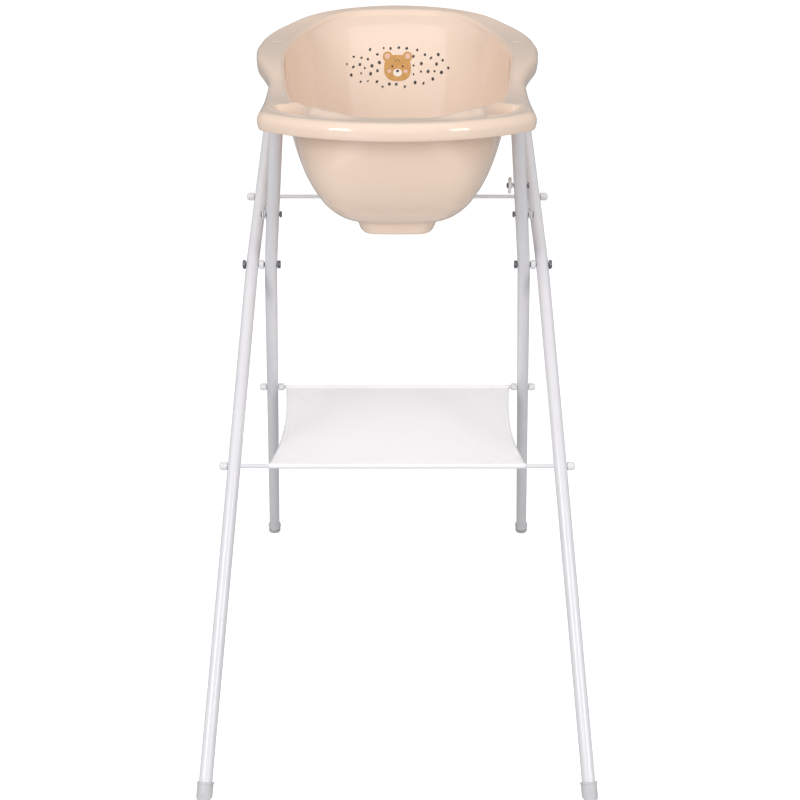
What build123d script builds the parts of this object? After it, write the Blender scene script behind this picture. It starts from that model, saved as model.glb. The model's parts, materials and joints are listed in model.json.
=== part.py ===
from build123d import *
import os
from math import acos, atan, cos, degrees, hypot, pi, radians, sin, sqrt

# A baby bath on a folding stand: two scissor frames of round tube joined at a
# pivot on each side, cross rods, a slotted stay on each side that limits how
# far the frames open, a fabric shelf and a lift-off tub.
# Millimetres. Z is up, the floor is Z = 0, the pivot axis lies along X above
# the origin, and the tub's foot end points to -Y. "Outer" and "inner" name the
# frame whose legs are further from or nearer to the middle.

# ---- Driving dimensions: frames -------------------------------------------
PIVOT_HEIGHT = 758.0
FOOT_REACH = 493.0  # from the pivot's plane to a foot's centre, along Y
LEG_TUBE = 22.0  # outside diameter of the leg tube
LEG_WALL = 1.5
LEG_GAP = 10.5  # clear space between the outer and the inner leg
LEG_FLARE = 57.9  # how much further apart the legs stand at the floor
UPPER_TAPER = 0.1187  # lean towards the middle per millimetre above the pivot
LEG_BEND_RADIUS = 1500.0
OUTER_TOP_RISE = 327.0  # tube end above the pivot
INNER_TOP_RISE = 284.0
INNER_LEG_INSET = 23.4  # inner leg's top from the tub's rim, along X

# ---- Driving dimensions: hardware -----------------------------------------
ROD_DIAMETER = 7.0
SHELF_DROP = 301.0  # shelf rods below the pivot
UPPER_ROD_RISE = 105.8  # upper rod above the pivot
BOLT_DIAMETER = 8.0
STUD_DIAMETER = 6.0
CATCH_SCREW_DIAMETER = 5.0
HEAD_THICKNESS = 5.0
FIT = 0.05  # radial clearance of what turns on a pin
SNUG = 0.1  # radial clearance of what is fixed on a rod or in a tube
SEAT_GAP = 1.0  # flat faces from a tube that leans a little
SLIP = 0.3  # faces that slide past each other
CAP_DIAMETER = 14.0
CAP_LENGTH = 13.0
CAP_BORE_DEPTH = 7.5
COLLAR_LENGTH = 10.0
PIVOT_SPACER_DIAMETER = 16.0
STAY_WIDTH = 16.0
STAY_THICKNESS = 2.0
STAY_STANDOFF = 4.2  # strip's inner face from the inner leg's surface
FOLD_ANGLE = 57.0  # how far the inner frame folds towards the outer frame

# ---- Driving dimensions: feet, plugs and catch ----------------------------
FOOT_DIAMETER = 26.0
FOOT_LENGTH = 25.0
FOOT_LIP = 1.0
FOOT_LIP_LENGTH = 3.0
FOOT_SOLE = 11.5
FOOT_EDGE = 2.5
PLUG_HEAD = 11.0
PLUG_ROUND = 8.0
PLUG_STEM = 14.0
CATCH_RISE = 163.0  # catch's screw above the pivot
CATCH_LENGTH = 27.0
CATCH_WIDTH = 13.0
CATCH_THICKNESS = 5.0

# ---- Driving dimensions: shelf --------------------------------------------
SHELF_WIDTH = 440.0
SHELF_WAIST = 12.0  # how far each side edge curves in
SHELF_SAG = 9.0
SHELF_THICKNESS = 2.0
HEM_WALL = 1.2

# ---- Driving dimensions: tub ----------------------------------------------
TUB_LENGTH = 860.0
TUB_CENTRE_Y = 26.0
TUB_WALL = 3.0
RIM_HALF_FOOT = 212.0
WING_FLARE = 35.0  # extra half width at the wings
FOOT_END_BOW = 100.0
FOOT_CORNER_INSET = 3.0  # the corners stand in from the waist
FOOT_CORNER_RADIUS = 45.0
HEAD_ROUND_LENGTH = 256.0
WING_START = 0.41  # share of the length where the rim starts to widen
WING_END = 0.62
DECK_FOOT = 60.0  # flat rim between the opening and the outside
DECK_HEAD = 35.0
DECK_SIDE_FOOT = 48.0
DECK_SIDE_WING = 49.0
SKIRT_FOOT = 26.0
SKIRT_HEAD = 38.0
BOWL_FLOOR_HALF = 67.0
BOWL_FLOOR_FOOT = 160.0  # floor's end from the rim's end, at the foot
BOWL_FLOOR_HEAD = 266.0
BOWL_CURVE_HEIGHT = 180.0  # height over which the side walls curve out
PEDESTAL_HEIGHT = 22.0
PEDESTAL_WALL = 4.0
PEDESTAL_TAPER = 8.0
PEDESTAL_ROD_GAP = 2.7
CORNER_POWER = 3.0  # squareness of the bowl's oval plan
OVAL_POINTS = 20
DISH_HALF_WIDTH = 19.0
DISH_HALF_LENGTH = 56.0
DISH_DEPTH = 15.0
DISH_INSET = 52.0  # dish's centre from the rim, along X
DISH_FROM_FOOT = 127.0
DISH_TURN = 27.0  # degrees that a dish turns to follow the rim's corner
SEAT_BOSS_DIAMETER = 26.0
STOP_RIB_THICKNESS = 4.0
STOP_RIB_DEPTH = 24.0
# Rim height above the pedestal's bottom, along the tub from foot to head.
RIM_LINE = (
    (-0.03, 202.0),
    (0.15, 202.0),
    (0.30, 203.0),
    (0.40, 212.0),
    (0.47, 225.0),
    (0.54, 235.0),
    (0.62, 242.0),
    (0.76, 252.0),
    (0.853, 264.0),
    (0.92, 278.0),
    (1.0, 290.0),
    (1.03, 295.0),
)

# ---- Worked out from the above --------------------------------------------
SIDES = {"left": -1, "right": 1}
LEG_RADIUS = LEG_TUBE / 2
ROD_RADIUS = ROD_DIAMETER / 2
FRAME_OFFSET = LEG_TUBE + LEG_GAP
INNER_TOP_X = RIM_HALF_FOOT - INNER_LEG_INSET
INNER_PIVOT_X = INNER_TOP_X + UPPER_TAPER * INNER_TOP_RISE
OUTER_PIVOT_X = INNER_PIVOT_X + FRAME_OFFSET
LEG_SLOPE = FOOT_REACH / PIVOT_HEIGHT
LEG_LEAN = atan(LEG_SLOPE)  # from upright, in radians
PIVOT = (0, PIVOT_HEIGHT)
UPPER_ROD = (LEG_SLOPE * UPPER_ROD_RISE, PIVOT_HEIGHT + UPPER_ROD_RISE)
STAY_STUD = (-UPPER_ROD[0], UPPER_ROD[1])
FRONT_ROD = (-LEG_SLOPE * SHELF_DROP, PIVOT_HEIGHT - SHELF_DROP)
REAR_ROD = (-FRONT_ROD[0], FRONT_ROD[1])
CATCH = (-LEG_SLOPE * CATCH_RISE, PIVOT_HEIGHT + CATCH_RISE)
TUB_BASE = UPPER_ROD[1] + ROD_RADIUS + PEDESTAL_ROD_GAP
TUB_FOOT_Y = TUB_CENTRE_Y - TUB_LENGTH / 2
TUB_HEAD_Y = TUB_CENTRE_Y + TUB_LENGTH / 2
BOWL_FLOOR_Z = TUB_BASE + PEDESTAL_HEIGHT
TUB_ABOVE = TUB_BASE + RIM_LINE[-1][1] + 60.0
REACH = RIM_HALF_FOOT + WING_FLARE + 40.0  # further out than the tub is wide


def leg_half_spread(height, pivot_x):
    """Distance of a leg's centre line from the middle plane at a height."""
    if height < PIVOT_HEIGHT:
        return pivot_x + LEG_FLARE * (1 - height / PIVOT_HEIGHT)
    return pivot_x - UPPER_TAPER * (height - PIVOT_HEIGHT)


def leg_point(side, height, pivot_x, lean):
    """Point on a leg's centre line; lean is 1 for outer legs, -1 for inner."""
    across = side * leg_half_spread(height, pivot_x)
    return Vector(across, lean * LEG_SLOPE * (height - PIVOT_HEIGHT), height)


def cross_plane(side, across, centre):
    """Plane at a distance from the middle, facing outwards on that side."""
    return Plane(origin=(side * across, *centre), x_dir=(0, 1, 0), z_dir=(side, 0, 0))


def save(piece, label):
    """Name a finished piece and write it."""
    piece.label = label
    export_step(piece, f"parts/{label}.step")


def smooth_step(share):
    """Ease from 0 to 1 with level ends."""
    share = min(max(share, 0.0), 1.0)
    return share * share * (3 - 2 * share)


os.makedirs("parts", exist_ok=True)


# ---- Legs -----------------------------------------------------------------
def make_leg(side, pivot_x, lean, top_height, holes):
    """Bent tube with cross holes; holes is a list of ((y, z), radius)."""
    foot = leg_point(side, 0, pivot_x, lean)
    middle = leg_point(side, PIVOT_HEIGHT, pivot_x, lean)
    top = leg_point(side, top_height, pivot_x, lean)
    start = foot + (middle - foot).normalized() * FOOT_SOLE
    with BuildPart() as leg:
        with BuildLine() as centre_line:
            FilletPolyline(start, middle, top, radius=LEG_BEND_RADIUS)
        with BuildSketch(Plane(origin=start, z_dir=middle - foot)):
            Circle(LEG_RADIUS)
            Circle(LEG_RADIUS - LEG_WALL, mode=Mode.SUBTRACT)
        sweep(path=centre_line.wires()[0])
        for centre, radius in holes:
            across = side * leg_half_spread(centre[1], pivot_x)
            with Locations((across, *centre)):
                Cylinder(radius, 2 * LEG_TUBE, rotation=(0, 90, 0), mode=Mode.SUBTRACT)
    return leg.part


def make_foot(side, pivot_x, lean):
    """Rubber cap over the tube's end, cut flat on the floor."""
    foot = leg_point(side, 0, pivot_x, lean)
    direction = leg_point(side, PIVOT_HEIGHT, pivot_x, lean) - foot
    with BuildPart(Plane(origin=foot, x_dir=(side, 0, 0), z_dir=direction)) as cap:
        Cylinder(FOOT_DIAMETER / 2, 2 * FOOT_LENGTH)
        with Locations((0, 0, FOOT_LENGTH - FOOT_LIP_LENGTH / 2)):
            Cylinder(FOOT_DIAMETER / 2 + FOOT_LIP, FOOT_LIP_LENGTH)
        with Locations((0, 0, FOOT_SOLE - SNUG)):
            Cylinder(
                LEG_RADIUS + SNUG,
                FOOT_LENGTH,
                align=(Align.CENTER, Align.CENTER, Align.MIN),
                mode=Mode.SUBTRACT,
            )
        split(bisect_by=Plane.XY, keep=Keep.TOP)
        fillet(cap.faces().sort_by(Axis.Z)[0].edges(), FOOT_EDGE)
    return cap.part


def make_plug(side, pivot_x, lean, top_height):
    """Domed plug whose stem sits in the top of a leg tube."""
    top = leg_point(side, top_height, pivot_x, lean)
    direction = top - leg_point(side, PIVOT_HEIGHT, pivot_x, lean)
    with BuildPart(Plane(origin=top, z_dir=direction)) as plug:
        Cylinder(LEG_RADIUS, PLUG_HEAD, align=(Align.CENTER, Align.CENTER, Align.MIN))
        round_edge = plug.edges().sort_by(Axis(top, direction))[-1]
        fillet(round_edge, PLUG_ROUND)
        Cylinder(
            LEG_RADIUS - LEG_WALL - SNUG,
            PLUG_STEM,
            align=(Align.CENTER, Align.CENTER, Align.MAX),
        )
    return plug.part


outer_holes = [
    (PIVOT, BOLT_DIAMETER / 2 + FIT),
    (FRONT_ROD, ROD_RADIUS + SNUG),
    (UPPER_ROD, ROD_RADIUS + SNUG),
]
inner_holes = [
    (PIVOT, BOLT_DIAMETER / 2 + FIT),
    (REAR_ROD, ROD_RADIUS + SNUG),
    (STAY_STUD, STUD_DIAMETER / 2 + SNUG),
]
catch_hole = (CATCH, CATCH_SCREW_DIAMETER / 2 + SNUG)
OUTER_TOP = PIVOT_HEIGHT + OUTER_TOP_RISE
INNER_TOP = PIVOT_HEIGHT + INNER_TOP_RISE
for name, side in SIDES.items():
    # Only the right inner leg carries the turn catch.
    holes = inner_holes + ([catch_hole] if side > 0 else [])
    save(make_leg(side, OUTER_PIVOT_X, 1, OUTER_TOP, outer_holes), f"outer_leg_{name}")
    save(make_leg(side, INNER_PIVOT_X, -1, INNER_TOP, holes), f"inner_leg_{name}")
    save(make_foot(side, OUTER_PIVOT_X, 1), f"outer_foot_{name}")
    save(make_foot(side, INNER_PIVOT_X, -1), f"inner_foot_{name}")
    save(make_plug(side, OUTER_PIVOT_X, 1, OUTER_TOP), f"outer_plug_{name}")
    save(make_plug(side, INNER_PIVOT_X, -1, INNER_TOP), f"inner_plug_{name}")


# ---- Turned hardware ------------------------------------------------------
def turned(stations, planes, dome=0.0):
    """Round pieces along X, one at each plane.

    stations lists (start, end, radius, bore) measured outwards from the plane;
    the edge at the far end of the last one is rounded by dome.
    """
    with BuildPart() as piece:
        for plane in planes:
            with BuildPart(plane, mode=Mode.PRIVATE) as one:
                for start, end, radius, bore in stations:
                    with BuildSketch(plane.offset(start)):
                        Circle(radius)
                        if bore:
                            Circle(bore, mode=Mode.SUBTRACT)
                    extrude(amount=end - start)
                if dome:
                    outward = Axis(plane.origin, plane.z_dir)
                    rim = one.edges().sort_by(outward).group_by(outward)[-1]
                    fillet(rim.sort_by(SortBy.RADIUS)[-1], dome)
            add(one.part)
    return piece.part


BOLT_RADIUS = BOLT_DIAMETER / 2
STUD_RADIUS = STUD_DIAMETER / 2
outer_face = LEG_RADIUS + SEAT_GAP  # a flat face beside a leg, from its centre
nut_inner = INNER_PIVOT_X - outer_face - HEAD_THICKNESS
bolt_head = OUTER_PIVOT_X + outer_face
spacer_start = INNER_PIVOT_X + outer_face + SLIP
spacer_end = OUTER_PIVOT_X - outer_face - SLIP
for name, side in SIDES.items():
    at_bolt = [cross_plane(side, 0, PIVOT)]
    shank_start = nut_inner + 1.0
    bolt = turned(
        [
            (shank_start, bolt_head, BOLT_RADIUS, 0),
            (bolt_head, bolt_head + HEAD_THICKNESS, BOLT_DIAMETER, 0),
        ],
        at_bolt,
        dome=3.0,
    )
    save(bolt, f"pivot_bolt_{name}")
    nut_end = nut_inner + HEAD_THICKNESS
    nut = turned([(nut_inner, nut_end, 7.0, BOLT_RADIUS + FIT)], at_bolt)
    save(nut, f"pivot_nut_{name}")
    spacer = turned(
        [(spacer_start, spacer_end, PIVOT_SPACER_DIAMETER / 2, BOLT_RADIUS + FIT)],
        at_bolt,
    )
    save(spacer, f"pivot_spacer_{name}")


def make_rod(centre, pivot_x):
    """Cross rod through both legs of one frame, ending inside its caps."""
    half = leg_half_spread(centre[1], pivot_x) + outer_face + CAP_BORE_DEPTH
    with BuildPart() as rod:
        with BuildSketch(Plane.YZ):
            with Locations(centre):
                Circle(ROD_RADIUS)
        extrude(amount=half - 0.5, both=True)
    return rod.part


def make_rod_caps(centre, pivot_x):
    """Domed caps on both ends of a rod, outside the legs."""
    start = leg_half_spread(centre[1], pivot_x) + outer_face
    bore_end = start + CAP_BORE_DEPTH
    stations = [
        (start, bore_end, CAP_DIAMETER / 2, ROD_RADIUS + SNUG),
        (bore_end, start + CAP_LENGTH, CAP_DIAMETER / 2, 0),
    ]
    planes = [cross_plane(side, 0, centre) for side in SIDES.values()]
    return turned(stations, planes, dome=CAP_LENGTH - CAP_BORE_DEPTH - 0.5)


save(make_rod(FRONT_ROD, OUTER_PIVOT_X), "front_shelf_rod")
save(make_rod_caps(FRONT_ROD, OUTER_PIVOT_X), "front_rod_caps")
save(make_rod(REAR_ROD, INNER_PIVOT_X), "rear_shelf_rod")
save(make_rod_caps(REAR_ROD, INNER_PIVOT_X), "rear_rod_caps")
save(make_rod(UPPER_ROD, OUTER_PIVOT_X), "upper_rod")
save(make_rod_caps(UPPER_ROD, OUTER_PIVOT_X), "upper_rod_caps")

collar_end = leg_half_spread(REAR_ROD[1], INNER_PIVOT_X) - outer_face
rear_planes = [cross_plane(side, 0, REAR_ROD) for side in SIDES.values()]
collar_station = (
    collar_end - COLLAR_LENGTH,
    collar_end,
    CAP_DIAMETER / 2,
    ROD_RADIUS + SNUG,
)
save(turned([collar_station], rear_planes), "rear_rod_collars")

# ---- Stays: slotted strips from the upper rod to a stud on the inner leg ----
stay_leg_x = leg_half_spread(STAY_STUD[1], INNER_PIVOT_X)
stay_inner = stay_leg_x + LEG_RADIUS + STAY_STANDOFF
stay_outer = stay_inner + STAY_THICKNESS
upper_leg_face = leg_half_spread(UPPER_ROD[1], OUTER_PIVOT_X) - outer_face
pin_distance = hypot(*UPPER_ROD[:1], UPPER_ROD_RISE)
half_angle = acos(UPPER_ROD_RISE / pin_distance)
open_reach = 2 * pin_distance * sin(half_angle)
closed_reach = 2 * pin_distance * sin(half_angle - radians(FOLD_ANGLE) / 2)
slot_far = open_reach + SNUG
slot_near = closed_reach - SLIP
strip_end = slot_far + STUD_RADIUS
for name, side in SIDES.items():
    plane = cross_plane(side, stay_inner, UPPER_ROD)
    with BuildPart() as stay:
        with BuildSketch(plane):
            with Locations((-strip_end / 2, 0)):
                SlotCenterToCenter(strip_end, STAY_WIDTH)
            Circle(ROD_RADIUS + FIT, mode=Mode.SUBTRACT)
            with Locations((-(slot_far + slot_near) / 2, 0)):
                SlotCenterToCenter(
                    slot_far - slot_near,
                    STUD_DIAMETER + 2 * SNUG,
                    mode=Mode.SUBTRACT,
                )
        extrude(amount=STAY_THICKNESS)
    save(stay.part, f"stay_{name}")

    at_stud = [cross_plane(side, 0, STAY_STUD)]
    head_face = stay_leg_x - outer_face
    stud_end = stay_outer + SLIP + 2.6
    with BuildPart(cross_plane(side, head_face, STAY_STUD)) as stud:
        Cylinder(
            STUD_RADIUS,
            stud_end - head_face,
            align=(Align.CENTER, Align.CENTER, Align.MIN),
        )
        Cylinder(5.5, 3.5, align=(Align.CENTER, Align.CENTER, Align.MAX))
        inward = Axis((0, *STAY_STUD), (-side, 0, 0))
        fillet(stud.edges().sort_by(inward)[-1], 2.2)
    save(stud.part, f"stay_stud_{name}")
    bush = (stay_leg_x + outer_face, stay_inner - SLIP, 7.0, STUD_RADIUS + FIT)
    save(turned([bush], at_stud), f"stay_bush_{name}")
    nut_start = stay_outer + SLIP
    lock_nut = (nut_start, nut_start + 2.4, 5.5, STUD_RADIUS + FIT)
    save(turned([lock_nut], at_stud), f"stay_nut_{name}")

upper_planes = [cross_plane(side, 0, UPPER_ROD) for side in SIDES.values()]
outer_washer = (stay_outer + SLIP, upper_leg_face, 6.0, ROD_RADIUS + SNUG)
inner_washer = (stay_inner - SLIP - 3.5, stay_inner - SLIP, 6.0, ROD_RADIUS + SNUG)
save(turned([outer_washer], upper_planes), "stay_outer_washers")
save(turned([inner_washer], upper_planes), "stay_inner_washers")

# ---- Turn catch on the right inner leg ------------------------------------
catch_leg_x = leg_half_spread(CATCH[1], INNER_PIVOT_X)
catch_face = catch_leg_x - outer_face - 3.0
catch_inner = catch_face - CATCH_THICKNESS
with BuildPart() as catch:
    with BuildSketch(cross_plane(1, catch_inner, CATCH)):
        SlotOverall(CATCH_LENGTH, CATCH_WIDTH, rotation=90)
        Circle(CATCH_SCREW_DIAMETER / 2 + FIT, mode=Mode.SUBTRACT)
    extrude(amount=CATCH_THICKNESS)
    fillet(catch.faces().sort_by(Axis.X)[0].outer_wire().edges(), 1.2)
save(catch.part, "turn_catch")
with BuildPart(cross_plane(1, catch_inner - SLIP, CATCH)) as catch_screw:
    Cylinder(
        CATCH_SCREW_DIAMETER / 2,
        catch_leg_x + outer_face + 2.6 - (catch_inner - SLIP),
        align=(Align.CENTER, Align.CENTER, Align.MIN),
    )
    Cylinder(4.2, 2.6, align=(Align.CENTER, Align.CENTER, Align.MAX))
    fillet(catch_screw.edges().sort_by(Axis.X)[0], 1.6)
save(catch_screw.part, "catch_screw")
at_catch = [cross_plane(1, 0, CATCH)]
catch_bore = CATCH_SCREW_DIAMETER / 2 + FIT
catch_bush = (catch_face + SLIP, catch_leg_x - outer_face, 4.6, catch_bore)
save(turned([catch_bush], at_catch), "catch_bush")
catch_nut_start = catch_leg_x + outer_face
catch_nut = (catch_nut_start, catch_nut_start + 2.4, 4.6, catch_bore)
save(turned([catch_nut], at_catch), "catch_nut")


# ---- Fabric shelf ---------------------------------------------------------
HEM_RADIUS = ROD_RADIUS + SLIP + HEM_WALL


def make_hem(centre):
    """Sleeve of fabric sewn around a shelf rod."""
    with BuildPart() as hem:
        with BuildSketch(Plane.YZ):
            with Locations(centre):
                Circle(HEM_RADIUS)
                Circle(ROD_RADIUS + SLIP, mode=Mode.SUBTRACT)
        extrude(amount=SHELF_WIDTH / 2, both=True)
    return hem.part


save(make_hem(FRONT_ROD), "front_hem")
save(make_hem(REAR_ROD), "rear_hem")

panel_front = FRONT_ROD[0] + HEM_RADIUS + SLIP
panel_rear = REAR_ROD[0] - HEM_RADIUS - SLIP
shelf_height = FRONT_ROD[1]
with BuildPart() as panel:
    with BuildSketch(Plane.YZ):
        with BuildLine():
            under = ThreePointArc(
                (panel_front, shelf_height - SHELF_THICKNESS / 2),
                (0, shelf_height - SHELF_SAG - SHELF_THICKNESS / 2),
                (panel_rear, shelf_height - SHELF_THICKNESS / 2),
            )
            over = ThreePointArc(
                (panel_rear, shelf_height + SHELF_THICKNESS / 2),
                (0, shelf_height - SHELF_SAG + SHELF_THICKNESS / 2),
                (panel_front, shelf_height + SHELF_THICKNESS / 2),
            )
            Line(under @ 1, over @ 0)
            Line(over @ 1, under @ 0)
        make_face()
    extrude(amount=SHELF_WIDTH / 2, both=True)
    with BuildSketch(Plane.XY.offset(shelf_height - SHELF_SAG - 10)):
        with BuildLine():
            right = ThreePointArc(
                (SHELF_WIDTH / 2, panel_front - 1),
                (SHELF_WIDTH / 2 - SHELF_WAIST, 0),
                (SHELF_WIDTH / 2, panel_rear + 1),
            )
            left = ThreePointArc(
                (-SHELF_WIDTH / 2, panel_rear + 1),
                (SHELF_WAIST - SHELF_WIDTH / 2, 0),
                (-SHELF_WIDTH / 2, panel_front - 1),
            )
            Line(right @ 1, left @ 0)
            Line(left @ 1, right @ 0)
        make_face()
    extrude(amount=SHELF_SAG + 20, mode=Mode.INTERSECT)
save(panel.part, "shelf_panel")


# ---- Tub ------------------------------------------------------------------
def signed_power(value, power):
    """Power of a number's size that keeps its sign."""
    return abs(value) ** power * (1 if value >= 0 else -1)


def bowl_half_width(y):
    """Half width of the opening before its ends round in."""
    foot_half = RIM_HALF_FOOT - DECK_SIDE_FOOT
    head_half = RIM_HALF_FOOT + WING_FLARE - DECK_SIDE_WING
    share = (y - TUB_FOOT_Y - 0.12 * TUB_LENGTH) / (0.53 * TUB_LENGTH)
    return foot_half + (head_half - foot_half) * smooth_step(share)


def oval(foot_y, head_y, width_share, grow):
    """Points of a squarish oval plan, larger all round by grow."""
    middle = (foot_y + head_y) / 2
    half = (head_y - foot_y) / 2
    points = []
    for step in range(OVAL_POINTS):
        angle = 2 * pi * step / OVAL_POINTS
        along = signed_power(cos(angle), 2 / CORNER_POWER)
        across = signed_power(sin(angle), 2 / CORNER_POWER)
        y = middle + half * along
        x = bowl_half_width(y) * width_share * across
        points.append((x + grow * across, y + grow * along))
    return points


def bowl_section(rise, grow):
    """Plan of the bowl at a height above its floor."""
    share = min(rise / BOWL_CURVE_HEIGHT, 1.0)
    curve = (1 - (1 - share) ** 2) ** 0.6
    floor_share = BOWL_FLOOR_HALF / bowl_half_width(TUB_CENTRE_Y)
    width_share = floor_share + (1 - floor_share) * curve
    foot_y = TUB_FOOT_Y + BOWL_FLOOR_FOOT - (BOWL_FLOOR_FOOT - DECK_FOOT) * curve
    head_share = rise / (RIM_LINE[-2][1] - PEDESTAL_HEIGHT)
    head_y = TUB_HEAD_Y - BOWL_FLOOR_HEAD + (BOWL_FLOOR_HEAD - DECK_HEAD) * head_share
    return oval(foot_y, head_y, width_share, grow)


def bowl_solid(lift, grow):
    """Solid of the bowl from its floor to above the rim."""
    rises = (0.0, 12.0, 40.0, 90.0, 160.0, RIM_LINE[-1][1] - PEDESTAL_HEIGHT + 20)
    with BuildPart() as solid:
        for rise in rises:
            raise_by = lift if rise == 0 else 0
            with BuildSketch(Plane.XY.offset(BOWL_FLOOR_Z + rise + raise_by)):
                with BuildLine():
                    Spline(*bowl_section(rise, grow), periodic=True)
                make_face()
        loft()
    return solid.part


def rim_band(top_drop, foot_drop, head_drop):
    """Block that follows the rim line in side view, between two drops."""
    upper = []
    lower = []
    for share, height in RIM_LINE:
        y = TUB_FOOT_Y + share * TUB_LENGTH
        drop = foot_drop + (head_drop - foot_drop) * smooth_step(share)
        upper.append((y, TUB_BASE + height - top_drop))
        lower.append((y, TUB_BASE + height - drop))
    with BuildPart() as band:
        with BuildSketch(Plane.YZ):
            with BuildLine():
                Spline(*upper)
                Line(upper[-1], lower[-1])
                Spline(*lower)
                Line(lower[0], upper[0])
            make_face()
        extrude(amount=REACH, both=True)
    return band.part


def rim_prism(inset):
    """Upright block with the rim's outline, smaller all round by inset."""
    corner_half = RIM_HALF_FOOT - FOOT_CORNER_INSET
    bow_radius = (corner_half**2 + FOOT_END_BOW**2) / (2 * FOOT_END_BOW)
    bow_centre_y = TUB_FOOT_Y + bow_radius

    def bow_point(x):
        """Point of the foot end's arc at a distance from the middle."""
        return (x, bow_centre_y - sqrt((bow_radius - inset) ** 2 - x**2))

    wing_half = RIM_HALF_FOOT + WING_FLARE - inset
    wing_start = (RIM_HALF_FOOT - inset, TUB_FOOT_Y + WING_START * TUB_LENGTH)
    wing_end = (wing_half, TUB_FOOT_Y + WING_END * TUB_LENGTH)
    round_y = TUB_HEAD_Y - HEAD_ROUND_LENGTH
    corner = bow_point(corner_half - inset)
    with BuildPart() as prism:
        with BuildSketch(Plane.XY.offset(TUB_BASE)) as outline:
            with BuildLine():
                ThreePointArc(bow_point(0), bow_point(corner[0] / 2), corner)
                Line(corner, wing_start)
                Spline(wing_start, wing_end, tangents=[(0, 1), (0, 1)])
                Line(wing_end, (wing_half, round_y))
                EllipticalCenterArc(
                    (0, round_y),
                    wing_half,
                    HEAD_ROUND_LENGTH - inset,
                    start_angle=0,
                    arc_size=90,
                )
                mirror(about=Plane.YZ)
            make_face()
            corners = outline.vertices().sort_by(Axis.Y)[1:3]
            fillet(corners, FOOT_CORNER_RADIUS - inset)
        extrude(amount=TUB_ABOVE - TUB_BASE)
    return prism.part


def plug_top(pivot_x, lean, top_height):
    """Highest point of a domed plug, and how far it reaches past the tube's end."""
    flat_half = LEG_RADIUS - PLUG_ROUND
    rise = (PLUG_HEAD - PLUG_ROUND) * cos(LEG_LEAN) + flat_half * sin(LEG_LEAN)
    reach = (PLUG_HEAD - PLUG_ROUND) * sin(LEG_LEAN) + flat_half * cos(LEG_LEAN)
    return top_height + rise + PLUG_ROUND + 0.2, reach + PLUG_ROUND


def rim_height(y):
    """Height of the rim line by straight steps between its points."""
    share = (y - TUB_FOOT_Y) / TUB_LENGTH
    for (low, low_z), (high, high_z) in zip(RIM_LINE, RIM_LINE[1:]):
        if low <= share <= high:
            return TUB_BASE + low_z + (high_z - low_z) * (share - low) / (high - low)
    return TUB_BASE + RIM_LINE[-1][1]


def ring_outline(width_half, foot_y, head_y, grow):
    """Points of the pedestal's oval."""
    share = width_half / bowl_half_width(TUB_CENTRE_Y)
    return oval(foot_y, head_y, share, grow)


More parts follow.
